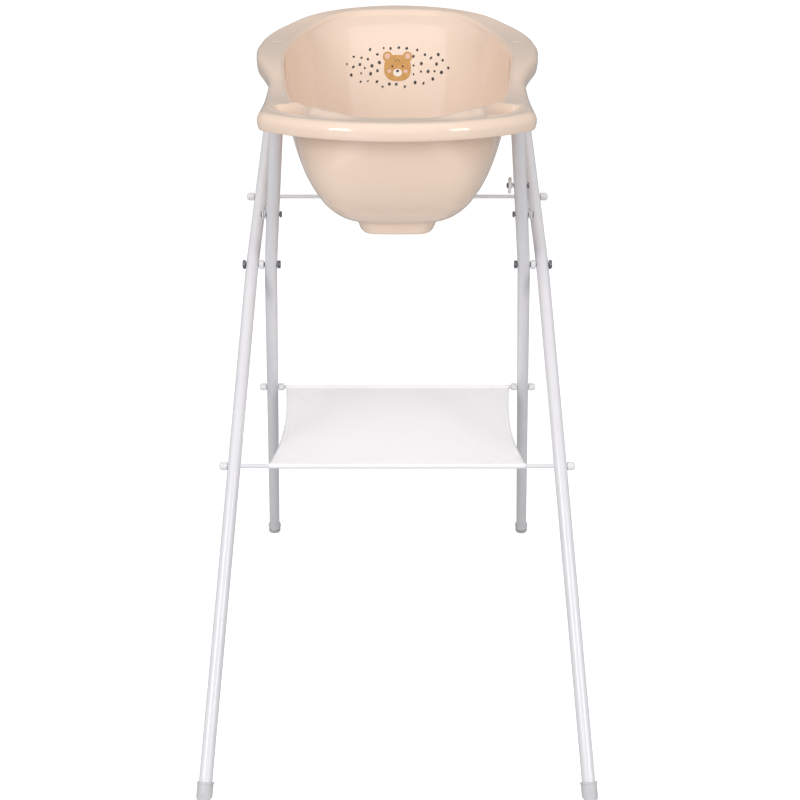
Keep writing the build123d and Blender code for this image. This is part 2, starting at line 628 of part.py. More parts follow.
pedestal_foot = TUB_FOOT_Y + BOWL_FLOOR_FOOT
pedestal_head = TUB_HEAD_Y - BOWL_FLOOR_HEAD
with BuildPart() as tub:
    # Rolled rim: a deck that follows the rim line, and a skirt around it.
    add(rim_prism(0.0))
    add(rim_band(0.0, SKIRT_FOOT, SKIRT_HEAD), mode=Mode.INTERSECT)
    with BuildPart(mode=Mode.PRIVATE) as channel:
        add(rim_prism(TUB_WALL))
        add(
            rim_band(TUB_WALL, SKIRT_FOOT + 20, SKIRT_HEAD + 20),
            mode=Mode.INTERSECT,
        )
    add(channel.part, mode=Mode.SUBTRACT)
    # Bowl, cut off along the rim line.
    with BuildPart(mode=Mode.PRIVATE) as bowl:
        add(bowl_solid(0.0, TUB_WALL))
        add(rim_band(0.0, RIM_LINE[-1][1], RIM_LINE[-1][1]), mode=Mode.INTERSECT)
    add(bowl.part)
    add(bowl_solid(TUB_WALL, 0.0), mode=Mode.SUBTRACT)
    # Pedestal ring that the tub stands on when it is off the stand.
    with BuildPart(mode=Mode.PRIVATE) as pedestal:
        for grow, mode in ((0.0, Mode.ADD), (-PEDESTAL_WALL, Mode.SUBTRACT)):
            for height, narrower in ((0.0, PEDESTAL_TAPER), (PEDESTAL_HEIGHT + 1, 0.0)):
                with BuildSketch(Plane.XY.offset(TUB_BASE + height)):
                    with BuildLine():
                        Spline(
                            *ring_outline(
                                BOWL_FLOOR_HALF,
                                pedestal_foot,
                                pedestal_head,
                                grow - narrower,
                            ),
                            periodic=True,
                        )
                    make_face()
            loft(mode=mode)
    add(pedestal.part)
    # Seats under the rim for the four leg ends, each with a stop rib that
    # keeps the frame from opening further.
    for pivot_x, lean, top_height in (
        (OUTER_PIVOT_X, 1, OUTER_TOP),
        (INNER_PIVOT_X, -1, INNER_TOP),
    ):
        seat_z, reach = plug_top(pivot_x, lean, top_height)
        for side in SIDES.values():
            top = leg_point(side, top_height, pivot_x, lean)
            under_deck = rim_height(top.Y) - TUB_WALL / 2
            seat_bottom = seat_z + SLIP
            with Locations((top.X, top.Y, seat_bottom)):
                Cylinder(
                    SEAT_BOSS_DIAMETER / 2,
                    under_deck - seat_bottom,
                    align=(Align.CENTER, Align.CENTER, Align.MIN),
                )
            rib_y = top.Y + lean * (reach + SEAT_GAP + STOP_RIB_THICKNESS / 2)
            rib_top = rim_height(rib_y) - TUB_WALL / 2
            with Locations((top.X, rib_y, rib_top)):
                Box(
                    SEAT_BOSS_DIAMETER,
                    STOP_RIB_THICKNESS,
                    STOP_RIB_DEPTH,
                    align=(Align.CENTER, Align.CENTER, Align.MAX),
                )
    # Soap dishes sunk into the deck's foot corners.
    dish_y = TUB_FOOT_Y + DISH_FROM_FOOT
    deck_z = rim_height(dish_y)
    for grow, top_z, bottom_z, mode in (
        (TUB_WALL, deck_z - 0.5, deck_z - DISH_DEPTH - TUB_WALL, Mode.ADD),
        (0.0, deck_z + 1, deck_z - DISH_DEPTH, Mode.SUBTRACT),
    ):
        with BuildSketch(Plane.XY.offset(bottom_z)):
            for side in SIDES.values():
                with Locations((side * (RIM_HALF_FOOT - DISH_INSET), dish_y)):
                    Ellipse(
                        DISH_HALF_WIDTH + grow,
                        DISH_HALF_LENGTH + grow,
                        rotation=side * -DISH_TURN,
                    )
        extrude(amount=top_z - bottom_z, mode=mode)
save(tub.part, "tub_shell")
print("stay pin distance", round(pin_distance, 2), "half angle", round(degrees(half_angle), 2))
print("slot", round(slot_near, 2), round(slot_far, 2), "tub base", TUB_BASE)
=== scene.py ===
"""Looks of a baby bath on a folding stand.

The stand's frames, rods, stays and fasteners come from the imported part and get
their finishes here. The tub's shell, its leg seats, the printed decoration and
the cloth shelf are modelled here. Sizes in the classes are millimetres.
"""

import json
import logging
import math
import random
from collections.abc import Callable, Iterable, Sequence
from dataclasses import dataclass, field
from enum import Enum

import bmesh
import bpy
from mathutils import Euler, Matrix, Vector

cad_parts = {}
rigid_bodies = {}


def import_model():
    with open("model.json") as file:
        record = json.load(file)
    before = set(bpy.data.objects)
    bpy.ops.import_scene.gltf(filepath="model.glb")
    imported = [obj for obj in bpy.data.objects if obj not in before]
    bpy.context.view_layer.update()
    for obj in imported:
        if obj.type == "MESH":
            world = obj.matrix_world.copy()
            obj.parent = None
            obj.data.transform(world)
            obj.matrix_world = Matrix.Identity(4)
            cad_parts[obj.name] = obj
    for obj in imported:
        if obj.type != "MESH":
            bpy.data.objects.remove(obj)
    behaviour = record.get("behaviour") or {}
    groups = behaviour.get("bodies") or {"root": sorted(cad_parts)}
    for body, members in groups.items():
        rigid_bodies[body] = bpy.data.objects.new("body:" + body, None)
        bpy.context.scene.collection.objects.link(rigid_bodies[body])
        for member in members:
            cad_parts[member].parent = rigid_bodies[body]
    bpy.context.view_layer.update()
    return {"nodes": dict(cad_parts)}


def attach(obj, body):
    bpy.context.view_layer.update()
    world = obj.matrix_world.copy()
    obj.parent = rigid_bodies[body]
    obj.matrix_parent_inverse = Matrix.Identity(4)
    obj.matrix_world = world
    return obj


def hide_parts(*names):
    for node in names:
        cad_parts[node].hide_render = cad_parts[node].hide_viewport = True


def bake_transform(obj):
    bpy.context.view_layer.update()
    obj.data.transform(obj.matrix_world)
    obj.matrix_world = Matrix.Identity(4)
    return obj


LOG = logging.getLogger("bath")
MM = 0.001

Colour = tuple[float, float, float]
Point = tuple[float, float, float]
Plan = tuple[float, float]


# ---- Small helpers ---------------------------------------------------------
def linear(colour: Colour) -> tuple[float, float, float, float]:
    """Turn display values into the scene's own.

    Args:
        colour: Red, green and blue as a display shows them, 0 to 1.

    Returns:
        The same colour for a socket, with a full alpha.
    """

    def one(value: float) -> float:
        """Undo the display curve of one channel."""
        return value / 12.92 if value <= 0.04045 else ((value + 0.055) / 1.055) ** 2.4

    return (one(colour[0]), one(colour[1]), one(colour[2]), 1.0)


def ease(share: float) -> float:
    """Go from 0 to 1 with level ends."""
    share = min(max(share, 0.0), 1.0)
    return share * share * (3 - 2 * share)


def signed_power(value: float, power: float) -> float:
    """Power of a number's size that keeps its sign."""
    return math.copysign(abs(value) ** power, value)


def make_object(name: str, points: Iterable[Point], faces: Iterable[Sequence[int]]) -> bpy.types.Object:
    """Make a smooth-shaded mesh object.

    Args:
        name: The piece's name.
        points: Corners in millimetres, in the row frame.
        faces: Corner numbers of each face.

    Returns:
        The new object, linked to the scene.
    """
    mesh = bpy.data.meshes.new(name)
    mesh.from_pydata([(x * MM, y * MM, z * MM) for x, y, z in points], [], list(faces))
    mesh.update()
    mesh.polygons.foreach_set("use_smooth", [True] * len(mesh.polygons))
    piece = bpy.data.objects.new(name, mesh)
    bpy.context.scene.collection.objects.link(piece)
    return piece


# ---- Node wiring -----------------------------------------------------------
class Wiring:
    """Adds and joins nodes in one node tree."""

    def __init__(self, tree: bpy.types.NodeTree) -> None:
        """Keep the tree that the nodes go into."""
        self.tree = tree

    def add(
        self, kind: str, values: dict[str | int, object] | None = None, **settings: object,
    ) -> bpy.types.Node:
        """Add a node.

        Args:
            kind: Blender's name of the node type, without ShaderNode.
            values: What each input socket is set to, or the output it takes.
            **settings: The node's own settings.

        Returns:
            The new node.
        """
        node = self.tree.nodes.new(kind if kind.startswith("Node") else f"ShaderNode{kind}")
        for name, value in settings.items():
            setattr(node, name, value)
        for socket, value in (values or {}).items():
            self.feed(node.inputs[socket], value)
        return node

    def feed(self, socket: bpy.types.NodeSocket, value: object) -> None:
        """Link an output to a socket, or set the socket's own value."""
        if isinstance(value, bpy.types.NodeSocket):
            self.tree.links.new(value, socket)
        else:
            socket.default_value = value

    def maths(self, operation: str, first: object, second: object = 0.0) -> bpy.types.NodeSocket:
        """Result of one sum on two values."""
        return self.add("Math", {0: first, 1: second}, operation=operation).outputs[0]

    def span(
        self, value: object, low: float, high: float, to_low: float, to_high: float,
    ) -> bpy.types.NodeSocket:
        """Stretch a value from one range to another, kept inside it."""
        places = {"Value": value, "From Min": low, "From Max": high, "To Min": to_low, "To Max": to_high}
        return self.add("MapRange", places, clamp=True).outputs[0]

    def blend(self, share: object, first: object, second: object) -> bpy.types.NodeSocket:
        """Mix two colours by a share."""
        node = self.add("Mix", data_type="RGBA")
        self.feed(node.inputs[0], share)
        self.feed(node.inputs[6], first)
        self.feed(node.inputs[7], second)
        return node.outputs[2]

    def place(self) -> bpy.types.NodeSocket:
        """Coordinates that stay with the piece."""
        return self.add("TexCoord").outputs["Object"]


@dataclass(frozen=True)
class Effect:
    """A shader node group that several finishes place.

    Attributes:
        name: The group's name.
        inputs: Name, socket kind and default of each input.
        outputs: Name and socket kind of each output.
        build: Fills the group, given its wiring, input node and output node.
    """

    name: str
    inputs: tuple[tuple[str, str, object], ...]
    outputs: tuple[tuple[str, str], ...]
    build: Callable[[Wiring, bpy.types.Node, bpy.types.Node], None]

    def tree(self) -> bpy.types.NodeTree:
        """Build the group the first time, and find it after that."""
        found = bpy.data.node_groups.get(self.name)
        if found:
            return found
        tree = bpy.data.node_groups.new(self.name, "ShaderNodeTree")
        for name, kind, default in self.inputs:
            socket = tree.interface.new_socket(name, in_out="INPUT", socket_type=f"NodeSocket{kind}")
            socket.default_value = default
        for name, kind in self.outputs:
            tree.interface.new_socket(name, in_out="OUTPUT", socket_type=f"NodeSocket{kind}")
        wiring = Wiring(tree)
        self.build(wiring, wiring.add("NodeGroupInput"), wiring.add("NodeGroupOutput"))
        return tree

    def placed(self, wiring: Wiring, **values: object) -> bpy.types.Node:
        """Place the group in a material.

        Args:
            wiring: The material's wiring.
            **values: Inputs by name, with _ for a space.

        Returns:
            The group's node.
        """
        node = wiring.add("Group", node_tree=self.tree())
        for name, value in values.items():
            wiring.feed(node.inputs[name.replace("_", " ")], value)
        return node


def fill_mottle(wiring: Wiring, given: bpy.types.Node, result: bpy.types.Node) -> None:
    """Slow drift of tone and gloss across a surface."""
    place = wiring.place()
    broad = wiring.add(
        "TexNoise",
        {"Vector": place, "Scale": given.outputs["Patch Scale"], "Detail": 3.0, "Roughness": 0.55},
    )
    share = wiring.span(broad.outputs[0], 0.35, 0.65, 0.0, 1.0)
    wiring.feed(
        result.inputs["Colour"],
        wiring.blend(share, given.outputs["Colour"], given.outputs["Deep Colour"]),
    )
    fine_scale = wiring.maths("MULTIPLY", given.outputs["Patch Scale"], 7.0)
    fine = wiring.add("TexNoise", {"Vector": place, "Scale": fine_scale, "Detail": 4.0, "Roughness": 0.6})
    drift = wiring.maths("SUBTRACT", fine.outputs[0], 0.5)
    drift = wiring.maths("MULTIPLY", drift, given.outputs["Spread"])
    wiring.feed(result.inputs["Roughness"], wiring.maths("ADD", given.outputs["Roughness"], drift))


def fill_grain(wiring: Wiring, given: bpy.types.Node, result: bpy.types.Node) -> None:
    """Fine relief, from orange peel to moulding grain, as a height in metres."""
    place = wiring.place()
    ripple = wiring.add(
        "TexNoise",
        {"Vector": place, "Scale": given.outputs["Scale"], "Detail": 2.0, "Roughness": 0.5},
    )
    slow_scale = wiring.maths("MULTIPLY", given.outputs["Scale"], 0.09)
    slow = wiring.add("TexNoise", {"Vector": place, "Scale": slow_scale, "Detail": 1.0})
    both = wiring.maths(
        "ADD", ripple.outputs[0], wiring.maths("MULTIPLY", slow.outputs[0], given.outputs["Wave"]),
    )
    wiring.feed(result.inputs["Height"], wiring.maths("MULTIPLY", both, given.outputs["Depth"]))


def fill_edge(wiring: Wiring, given: bpy.types.Node, result: bpy.types.Node) -> None:
    """Rounded edges in the shading, and a mask of where they are."""
    soft = wiring.add("Bevel", {"Radius": given.outputs["Radius"]}, samples=6)
    wiring.feed(result.inputs["Normal"], soft.outputs["Normal"])
    normal = wiring.add("NewGeometry").outputs["Normal"]
    turn = wiring.add("VectorMath", {0: soft.outputs["Normal"], 1: normal}, operation="DOT_PRODUCT")
    bare = wiring.span(turn.outputs["Value"], 0.999, 0.93, 0.0, 1.0)
    breaks = wiring.add("TexNoise", {"Vector": wiring.place(), "Scale": 420.0, "Detail": 3.0})
    broken = wiring.span(breaks.outputs[0], 0.42, 0.66, 0.0, 1.0)
    wiring.feed(result.inputs["Mask"], wiring.maths("MULTIPLY", bare, broken))


def fill_brush(wiring: Wiring, given: bpy.types.Node, result: bpy.types.Node) -> None:
    """Fine turning lines round an axis along X, as a height and a mask."""
    place = wiring.place()
    stretched = wiring.add("Mapping", {"Vector": place, "Scale": (60.0, 1.0, 1.0)})
    lines = wiring.add(
        "TexNoise",
        {"Vector": stretched.outputs[0], "Scale": given.outputs["Scale"], "Detail": 4.0, "Roughness": 0.7},
    )
    wiring.feed(result.inputs["Mask"], wiring.span(lines.outputs[0], 0.35, 0.65, 0.0, 1.0))
    wiring.feed(result.inputs["Height"], wiring.maths("MULTIPLY", lines.outputs[0], given.outputs["Depth"]))


def fill_weave(wiring: Wiring, given: bpy.types.Node, result: bpy.types.Node) -> None:
    """Plain weave across X and Y: thread height in metres, and painted shade that darkens the gaps between
    threads.
    """
    axes = wiring.add("SeparateXYZ", {0: wiring.place()})
    pitch = given.outputs["Pitch"]
    sides = []
    for axis in (0, 1):
        steps = wiring.maths("DIVIDE", axes.outputs[axis], pitch)
        hump = wiring.maths("SINE", wiring.maths("MULTIPLY", wiring.maths("FRACT", steps), math.pi))
        sides.append((wiring.maths("FLOOR", steps), hump))
    (floor_x, hump_x), (floor_y, hump_y) = sides
    parity = wiring.maths("PINGPONG", wiring.maths("ADD", floor_x, floor_y), 1.0)
    over = wiring.maths("MULTIPLY", hump_x, parity)
    under = wiring.maths("MULTIPLY", hump_y, wiring.maths("SUBTRACT", 1.0, parity))
    crown = wiring.maths("ADD", over, under)
    slub = wiring.add("TexNoise", {"Vector": wiring.place(), "Scale": 240.0, "Detail": 3.0})
    height = wiring.maths("ADD", crown, wiring.maths("MULTIPLY", slub.outputs[0], 0.6))
    wiring.feed(result.inputs["Height"], wiring.maths("MULTIPLY", height, given.outputs["Depth"]))
    # Painted shade: the low parts between threads are darkened, where shade falls between them.
    painted_gap_shade = wiring.span(crown, 0.0, 0.8, 1.0, 0.0)
    wiring.feed(result.inputs["Gap"], wiring.maths("MULTIPLY", painted_gap_shade, given.outputs["Gap Shade"]))


MOTTLE = Effect(
    "mottled_tone",
    (
        ("Colour", "Color", (1.0, 1.0, 1.0, 1.0)),
        ("Deep Colour", "Color", (0.9, 0.9, 0.9, 1.0)),
        ("Patch Scale", "Float", 6.0),
        ("Roughness", "Float", 0.4),
        ("Spread", "Float", 0.1),
    ),
    (("Colour", "Color"), ("Roughness", "Float")),
    fill_mottle,
)
GRAIN = Effect(
    "fine_grain",
    (("Scale", "Float", 900.0), ("Wave", "Float", 1.0), ("Depth", "Float", 0.00002)),
    (("Height", "Float"),),
    fill_grain,
)
EDGE = Effect(
    "worn_edge",
    (("Radius", "Float", 0.0006),),
    (("Normal", "Vector"), ("Mask", "Float")),
    fill_edge,
)
BRUSH = Effect(
    "turned_lines",
    (("Scale", "Float", 40.0), ("Depth", "Float", 0.00001)),
    (("Height", "Float"), ("Mask", "Float")),
    fill_brush,
)
# Plain weave; its Gap output is a mask of painted shade between threads, and Gap Shade sets how dark that
# painted shade is.
WEAVE = Effect(
    "plain_weave",
    (("Pitch", "Float", 0.0008), ("Depth", "Float", 0.0001), ("Gap Shade", "Float", 0.3)),
    (("Height", "Float"), ("Gap", "Float")),
    fill_weave,
)


# ---- Finishes --------------------------------------------------------------
class Surface(Enum):
    """What a finish is made of."""

    MOULDED = "moulded plastic"
    PAINT = "paint on steel"
    METAL = "plated metal"
    CLOTH = "woven cloth"
    INK = "printed ink"


@dataclass(frozen=True)
class Finish:
    """One finish, as the numbers that its nodes take.

    Attributes:
        name: The material's name.
        surface: What it is made of.
        colour: Main colour, as a display shows it.
        deep: The tone that it drifts to.
        roughness: Middle roughness.
        spread: How much the roughness wanders.
        patch: Patches of tone per metre.
        grain: Grains of relief per metre.
        depth: Height of the relief in metres.
        wave: Share of slow waviness in the relief.
        coat: Clear coat's weight.
        edge: Radius of rounded edges in the shading, in metres.
        wear_and_painted_gap_shade: The colour of edge wear and of brushed lines; on cloth, the painted shade
            in the gaps between threads.
    """

    name: str
    surface: Surface
    colour: Colour
    deep: Colour
    roughness: float
    spread: float = 0.1
    patch: float = 6.0
    grain: float = 900.0
    depth: float = 0.00002
    wave: float = 1.0
    coat: float = 0.0
    edge: float = 0.0005
    wear_and_painted_gap_shade: Colour = (1.0, 1.0, 1.0)

    def material(self) -> bpy.types.Material:
        """Build the material the first time, and find it after that."""
        found = bpy.data.materials.get(self.name)
        if found:
            return found
        material = bpy.data.materials.new(self.name)
        material.use_nodes = True
        wiring = Wiring(material.node_tree)
        shader = material.node_tree.nodes["Principled BSDF"]
        tone = MOTTLE.placed(
            wiring,
            Colour=linear(self.colour),
            Deep_Colour=linear(self.deep),
            Patch_Scale=self.patch,
            Roughness=self.roughness,
            Spread=self.spread,
        )
        colour, roughness = tone.outputs["Colour"], tone.outputs["Roughness"]
        bump = wiring.add("Bump", {"Strength": 1.0, "Distance": 1.0})
        if self.surface is Surface.CLOTH:
            weave = WEAVE.placed(wiring, Pitch=1 / self.grain, Depth=self.depth, Gap_Shade=0.35)
            # Painted shade: the gaps between threads are darkened towards the finish's gap colour.
            colour = wiring.blend(weave.outputs["Gap"], colour, linear(self.wear_and_painted_gap_shade))
            height = weave.outputs["Height"]
            shader.inputs["Sheen Weight"].default_value = 0.25
            shader.inputs["Sheen Roughness"].default_value = 0.5
        elif self.surface is Surface.METAL:
            lines = BRUSH.placed(wiring, Scale=self.grain, Depth=self.depth)
            colour = wiring.blend(lines.outputs["Mask"], colour, linear(self.wear_and_painted_gap_shade))
            height = lines.outputs["Height"]
            shader.inputs["Metallic"].default_value = 1.0
        else:
            grain = GRAIN.placed(wiring, Scale=self.grain, Wave=self.wave, Depth=self.depth)
            height = grain.outputs["Height"]
        if self.edge > 0:
            edge = EDGE.placed(wiring, Radius=self.edge)
            colour = wiring.blend(edge.outputs["Mask"], colour, linear(self.wear_and_painted_gap_shade))
            wiring.feed(bump.inputs["Normal"], edge.outputs["Normal"])
        wiring.feed(bump.inputs["Height"], height)
        wiring.feed(shader.inputs["Base Color"], colour)
        wiring.feed(shader.inputs["Roughness"], roughness)
        wiring.feed(shader.inputs["Normal"], bump.outputs["Normal"])
        shader.inputs["Coat Weight"].default_value = self.coat
        shader.inputs["Coat Roughness"].default_value = 0.08
        return material

    def dress(self, piece: bpy.types.Object) -> None:
        """Put the finish on every material slot of a piece."""
        if not piece.material_slots:
            piece.data.materials.append(self.material())
        for slot in piece.material_slots:
            slot.material = self.material()


TUB_PLASTIC = Finish(
    "tub_peach_plastic", Surface.MOULDED, (0.940, 0.848, 0.776), (0.931, 0.836, 0.760), 0.075,
    spread=0.03, patch=3.5, grain=520.0, depth=0.000006, wave=3.0, edge=0.0,
)
LEG_PAINT = Finish(
    "leg_white_powder_coat", Surface.PAINT, (0.925, 0.92, 0.935), (0.91, 0.905, 0.925), 0.24,
    patch=9.0, grain=1600.0, depth=0.00001, coat=0.35, edge=0.0,
)
ROD_PAINT = Finish(
    "rod_white_satin_paint", Surface.PAINT, (0.93, 0.93, 0.945), (0.91, 0.91, 0.93), 0.34,
    patch=14.0, grain=1400.0, depth=0.00001, coat=0.15, edge=0.0,
)
STAY_PAINT = Finish(
    "stay_white_paint", Surface.PAINT, (0.935, 0.935, 0.94), (0.915, 0.915, 0.925), 0.32,
    patch=20.0, grain=1500.0, depth=0.00001, coat=0.2, wear_and_painted_gap_shade=(0.78, 0.78, 0.79),
)
FASTENER_STEEL = Finish(
    "fastener_dark_zinc", Surface.METAL, (0.42, 0.42, 0.45), (0.33, 0.33, 0.36), 0.32, patch=160.0,
    grain=60.0, depth=0.000012, wear_and_painted_gap_shade=(0.62, 0.62, 0.65),
)
WHITE_PLASTIC = Finish(
    "fitting_white_plastic", Surface.MOULDED, (0.945, 0.945, 0.95), (0.925, 0.925, 0.935), 0.38,
    patch=30.0, grain=2200.0, depth=0.000014, wave=0.5, wear_and_painted_gap_shade=(0.96, 0.96, 0.965),
)
FOOT_RUBBER = Finish(
    "foot_grey_rubber", Surface.MOULDED, (0.84, 0.84, 0.85), (0.79, 0.79, 0.805), 0.62, spread=0.18,
    patch=60.0, grain=1900.0, depth=0.00003, wave=0.6, edge=0.0008, wear_and_painted_gap_shade=(0.88, 0.88, 0.885),
)
# The cloth's last colour is painted shade, darkening the gaps between threads.
SHELF_CLOTH = Finish(
    "shelf_white_cloth", Surface.CLOTH, (0.99, 0.985, 0.995), (0.98, 0.975, 0.985), 0.72, patch=5.0,
    grain=1150.0, depth=0.00009, edge=0.0, wear_and_painted_gap_shade=(0.93, 0.93, 0.945),
)
# The thread's last colour is painted shade, darkening the gaps in its weave.
THREAD = Finish(
    "shelf_stitch_thread", Surface.CLOTH, (0.9, 0.9, 0.92), (0.86, 0.86, 0.89), 0.7, patch=90.0,
    grain=3800.0, depth=0.00004, edge=0.0, wear_and_painted_gap_shade=(0.78, 0.78, 0.82),
)
INK_DARK = Finish(
    "print_dark_brown", Surface.INK, (0.16, 0.11, 0.10), (0.22, 0.16, 0.145), 0.3, patch=180.0,
    grain=1500.0, depth=0.000006, edge=0.0,
)
INK_OCHRE = Finish(
    "print_ochre", Surface.INK, (0.81, 0.6, 0.31), (0.77, 0.55, 0.26), 0.28, patch=120.0,
    grain=1500.0, depth=0.000006, edge=0.0,
)
INK_CREAM = Finish(
    "print_cream", Surface.INK, (0.96, 0.92, 0.88), (0.93, 0.88, 0.84), 0.28, patch=120.0,
    grain=1500.0, depth=0.000006, edge=0.0,
)
INK_PINK = Finish(
    "print_pink", Surface.INK, (0.91, 0.74, 0.68), (0.89, 0.7, 0.64), 0.28, patch=120.0,
    grain=1500.0, depth=0.000006, edge=0.0,
)


# ---- Stand -----------------------------------------------------------------
@dataclass
class Stand:
    """The folding stand: CAD nodes that keep their shape and get finishes.

    Attributes:
        finishes: Each finish, with the nodes that it goes on.
    """

    finishes: dict[Finish, tuple[str, ...]] = field(
        default_factory=lambda: {
            LEG_PAINT: ("outer_leg_left", "outer_leg_right", "inner_leg_left", "inner_leg_right"),
            ROD_PAINT: ("front_shelf_rod", "rear_shelf_rod", "upper_rod"),
            STAY_PAINT: ("stay_left", "stay_right"),
            FASTENER_STEEL: (
                "pivot_bolt_left", "pivot_bolt_right", "pivot_nut_left", "pivot_nut_right",
                "stay_stud_left", "stay_stud_right", "stay_nut_left", "stay_nut_right",
                "catch_screw", "catch_nut",
            ),
            WHITE_PLASTIC: (
                "outer_plug_left", "outer_plug_right", "inner_plug_left", "inner_plug_right",
                "pivot_spacer_left", "pivot_spacer_right", "front_rod_caps", "rear_rod_caps",
                "upper_rod_caps", "rear_rod_collars", "stay_outer_washers", "stay_inner_washers",
                "stay_bush_left", "stay_bush_right", "turn_catch", "catch_bush",
            ),
            FOOT_RUBBER: ("outer_foot_left", "outer_foot_right", "inner_foot_left", "inner_foot_right"),
        }
    )

    def build(self, nodes: dict[str, bpy.types.Object]) -> None:
        """Dress each CAD node that stays.

        Args:
            nodes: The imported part's nodes by name.
        """
        for finish, names in self.finishes.items():
            for name in names:
                finish.dress(nodes[name])
            LOG.info("%s on %d nodes", finish.name, len(names))


# ---- Tub -------------------------------------------------------------------
@dataclass
class Tub:
    """The tub's shell as one closed skin of rows round the opening.

    Attributes:
        base: Height of the pedestal's bottom.
        length: Length of the rim.
        centre_y: Middle of the rim along Y.
        wall: Thickness of the shell.
        rim_half: Half width of the rim at its foot end.
        flare: Extra half width at the wings.
        bow: How far the foot end bows out.
        corner_inset: How far the foot corners stand in from the waist.
        corner_radius: Radius of the foot corners in plan.
        head_round: Length of the rounded head end.
        wings: Shares of the length where the rim starts and ends widening.
        decks: Width of the flat rim at the foot, head, foot side and wing.
        skirts: Depth of the skirt at the foot and the head.
        floor_half: Half width of the bowl's floor.
        floor_ends: From the rim's ends to the floor's ends, foot and head.
        side_curve: Height over which the side walls curve out.
        side_power: How full that curve is.
        widening: Shares of the length where the opening starts to widen, and for how long.
        head_tuck: How far the wall draws in at the head of the floor, and up to what height.
        pedestal: Height of the pedestal.
        pedestal_wall: Thickness of the pedestal's ring.
        pedestal_taper: How much narrower the pedestal is at its bottom.
        belt_height: How far the soft crease low on the outside stands out.
        belt_front: Where the crease fades at the foot end, and over how much.
        bank_height: Height of the bank beside each soap dish.
        hump_height: Height of the humps at the foot end's opening.
        inner_roll: Radius of the opening's edge.
        outer_rolls: Radius of the rim's outer edge at the foot and the head.
        foot_power: Squareness in plan of the floor's foot end.
        plan_power: Squareness in plan of everything else.
        stations: How many columns of faces go round.
        rim_line: Share of the length and height above the base, foot to head.
        dish: Soap dish: middle X and Y, half width, half length, depth, turn.
    """

    base: float = 870.0
    length: float = 860.0
    centre_y: float = 26.0
    wall: float = 3.0
    rim_half: float = 212.0
    flare: float = 35.0
    bow: float = 100.0
    corner_inset: float = 3.0
    corner_radius: float = 45.0
    head_round: float = 256.0
    wings: Plan = (0.41, 0.62)
    decks: tuple[float, float, float, float] = (60.0, 35.0, 48.0, 49.0)
    skirts: Plan = (26.0, 38.0)
    floor_half: float = 78.0
    floor_ends: Plan = (160.0, 266.0)
    side_curve: float = 180.0
    side_power: float = 0.63
    widening: Plan = (0.12, 0.53)
    head_tuck: Plan = (16.0, 30.0)
    pedestal: float = 22.0
    pedestal_wall: float = 4.0
    pedestal_taper: float = 8.0
    belt_height: float = 1.3
    belt_front: Plan = (0.80, 0.12)
    bank_height: float = 6.0
    hump_height: float = 6.5
    inner_roll: float = 8.0
    outer_rolls: Plan = (13.0, 8.0)
    foot_power: float = 6.5
    plan_power: float = 3.0
    stations: int = 384
    rim_line: tuple[Plan, ...] = (
        (-0.03, 202.0), (0.15, 202.0), (0.30, 203.0), (0.40, 212.0), (0.47, 225.0), (0.54, 235.0),
        (0.62, 242.0), (0.76, 252.0), (0.853, 264.0), (0.92, 278.0), (1.0, 290.0), (1.03, 295.0),
    )
    dish: tuple[float, ...] = (160.0, -277.0, 19.0, 56.0, 15.0, 27.0)

    def __post_init__(self) -> None:
        """Work out the ends, the outline's table and the stations."""
        self.foot_y = self.centre_y - self.length / 2
        self.head_y = self.centre_y + self.length / 2
        self.floor_z = self.base + self.pedestal
        self.bowl_depth = self.rim_line[-2][1] - self.pedestal
        self.outline = self.outline_table()
        self.angles = self.spaced_angles()
        self.edge = [self.edge_point(angle) for angle in self.angles]
        self.rim = [self.rim_point(point) for point in self.edge]
        self.edge_out = self.outward([point[:2] for point in self.edge])
        self.rim_out = self.outward(self.rim)

    # -- shape of the bowl and the rim --
    def rim_height(self, y: float) -> float:
        """Height of the rim line at a place along the tub, by a smooth curve."""
        line = self.rim_line
        share = min(max((y - self.foot_y) / self.length, line[0][0]), line[-1][0] - 1e-6)
        step = max(k for k in range(len(line) - 1) if line[k][0] <= share)

        def slope(k: int) -> float:
            """Slope of the curve at one of the line's points."""
            low, high = max(k - 1, 0), min(k + 1, len(line) - 1)
            return (line[high][1] - line[low][1]) / (line[high][0] - line[low][0])

        (start, z0), (end, z1) = line[step], line[step + 1]
        wide = end - start
        t = (share - start) / wide
        bend = (2 * t**3 - 3 * t**2 + 1) * z0 + (3 * t**2 - 2 * t**3) * z1
        bend += wide * ((t**3 - 2 * t**2 + t) * slope(step) + (t**3 - t**2) * slope(step + 1))
        return self.base + bend

    def bowl_half(self, y: float) -> float:
        """Half width of the opening before its ends round in."""
        foot = self.rim_half - self.decks[2]
        head = self.rim_half + self.flare - self.decks[3]
        start, span = self.widening
        share = (y - self.foot_y - start * self.length) / (span * self.length)
        return foot + (head - foot) * ease(share)

    def oval(self, angle: float, foot: float, head: float, share: float, grow: float, power: float) -> Plan:
        """Point of a squarish oval plan at an angle from the head end."""
        turned, aside = math.cos(angle), math.sin(angle)
        power = power if turned < 0 else self.plan_power
        reach = (abs(turned) ** power + abs(aside) ** power) ** (-1 / power)
        along, across = turned * reach, aside * reach
        y = (foot + head) / 2 + (head - foot) / 2 * along
        return self.bowl_half(y) * share * across + grow * across, y + grow * along

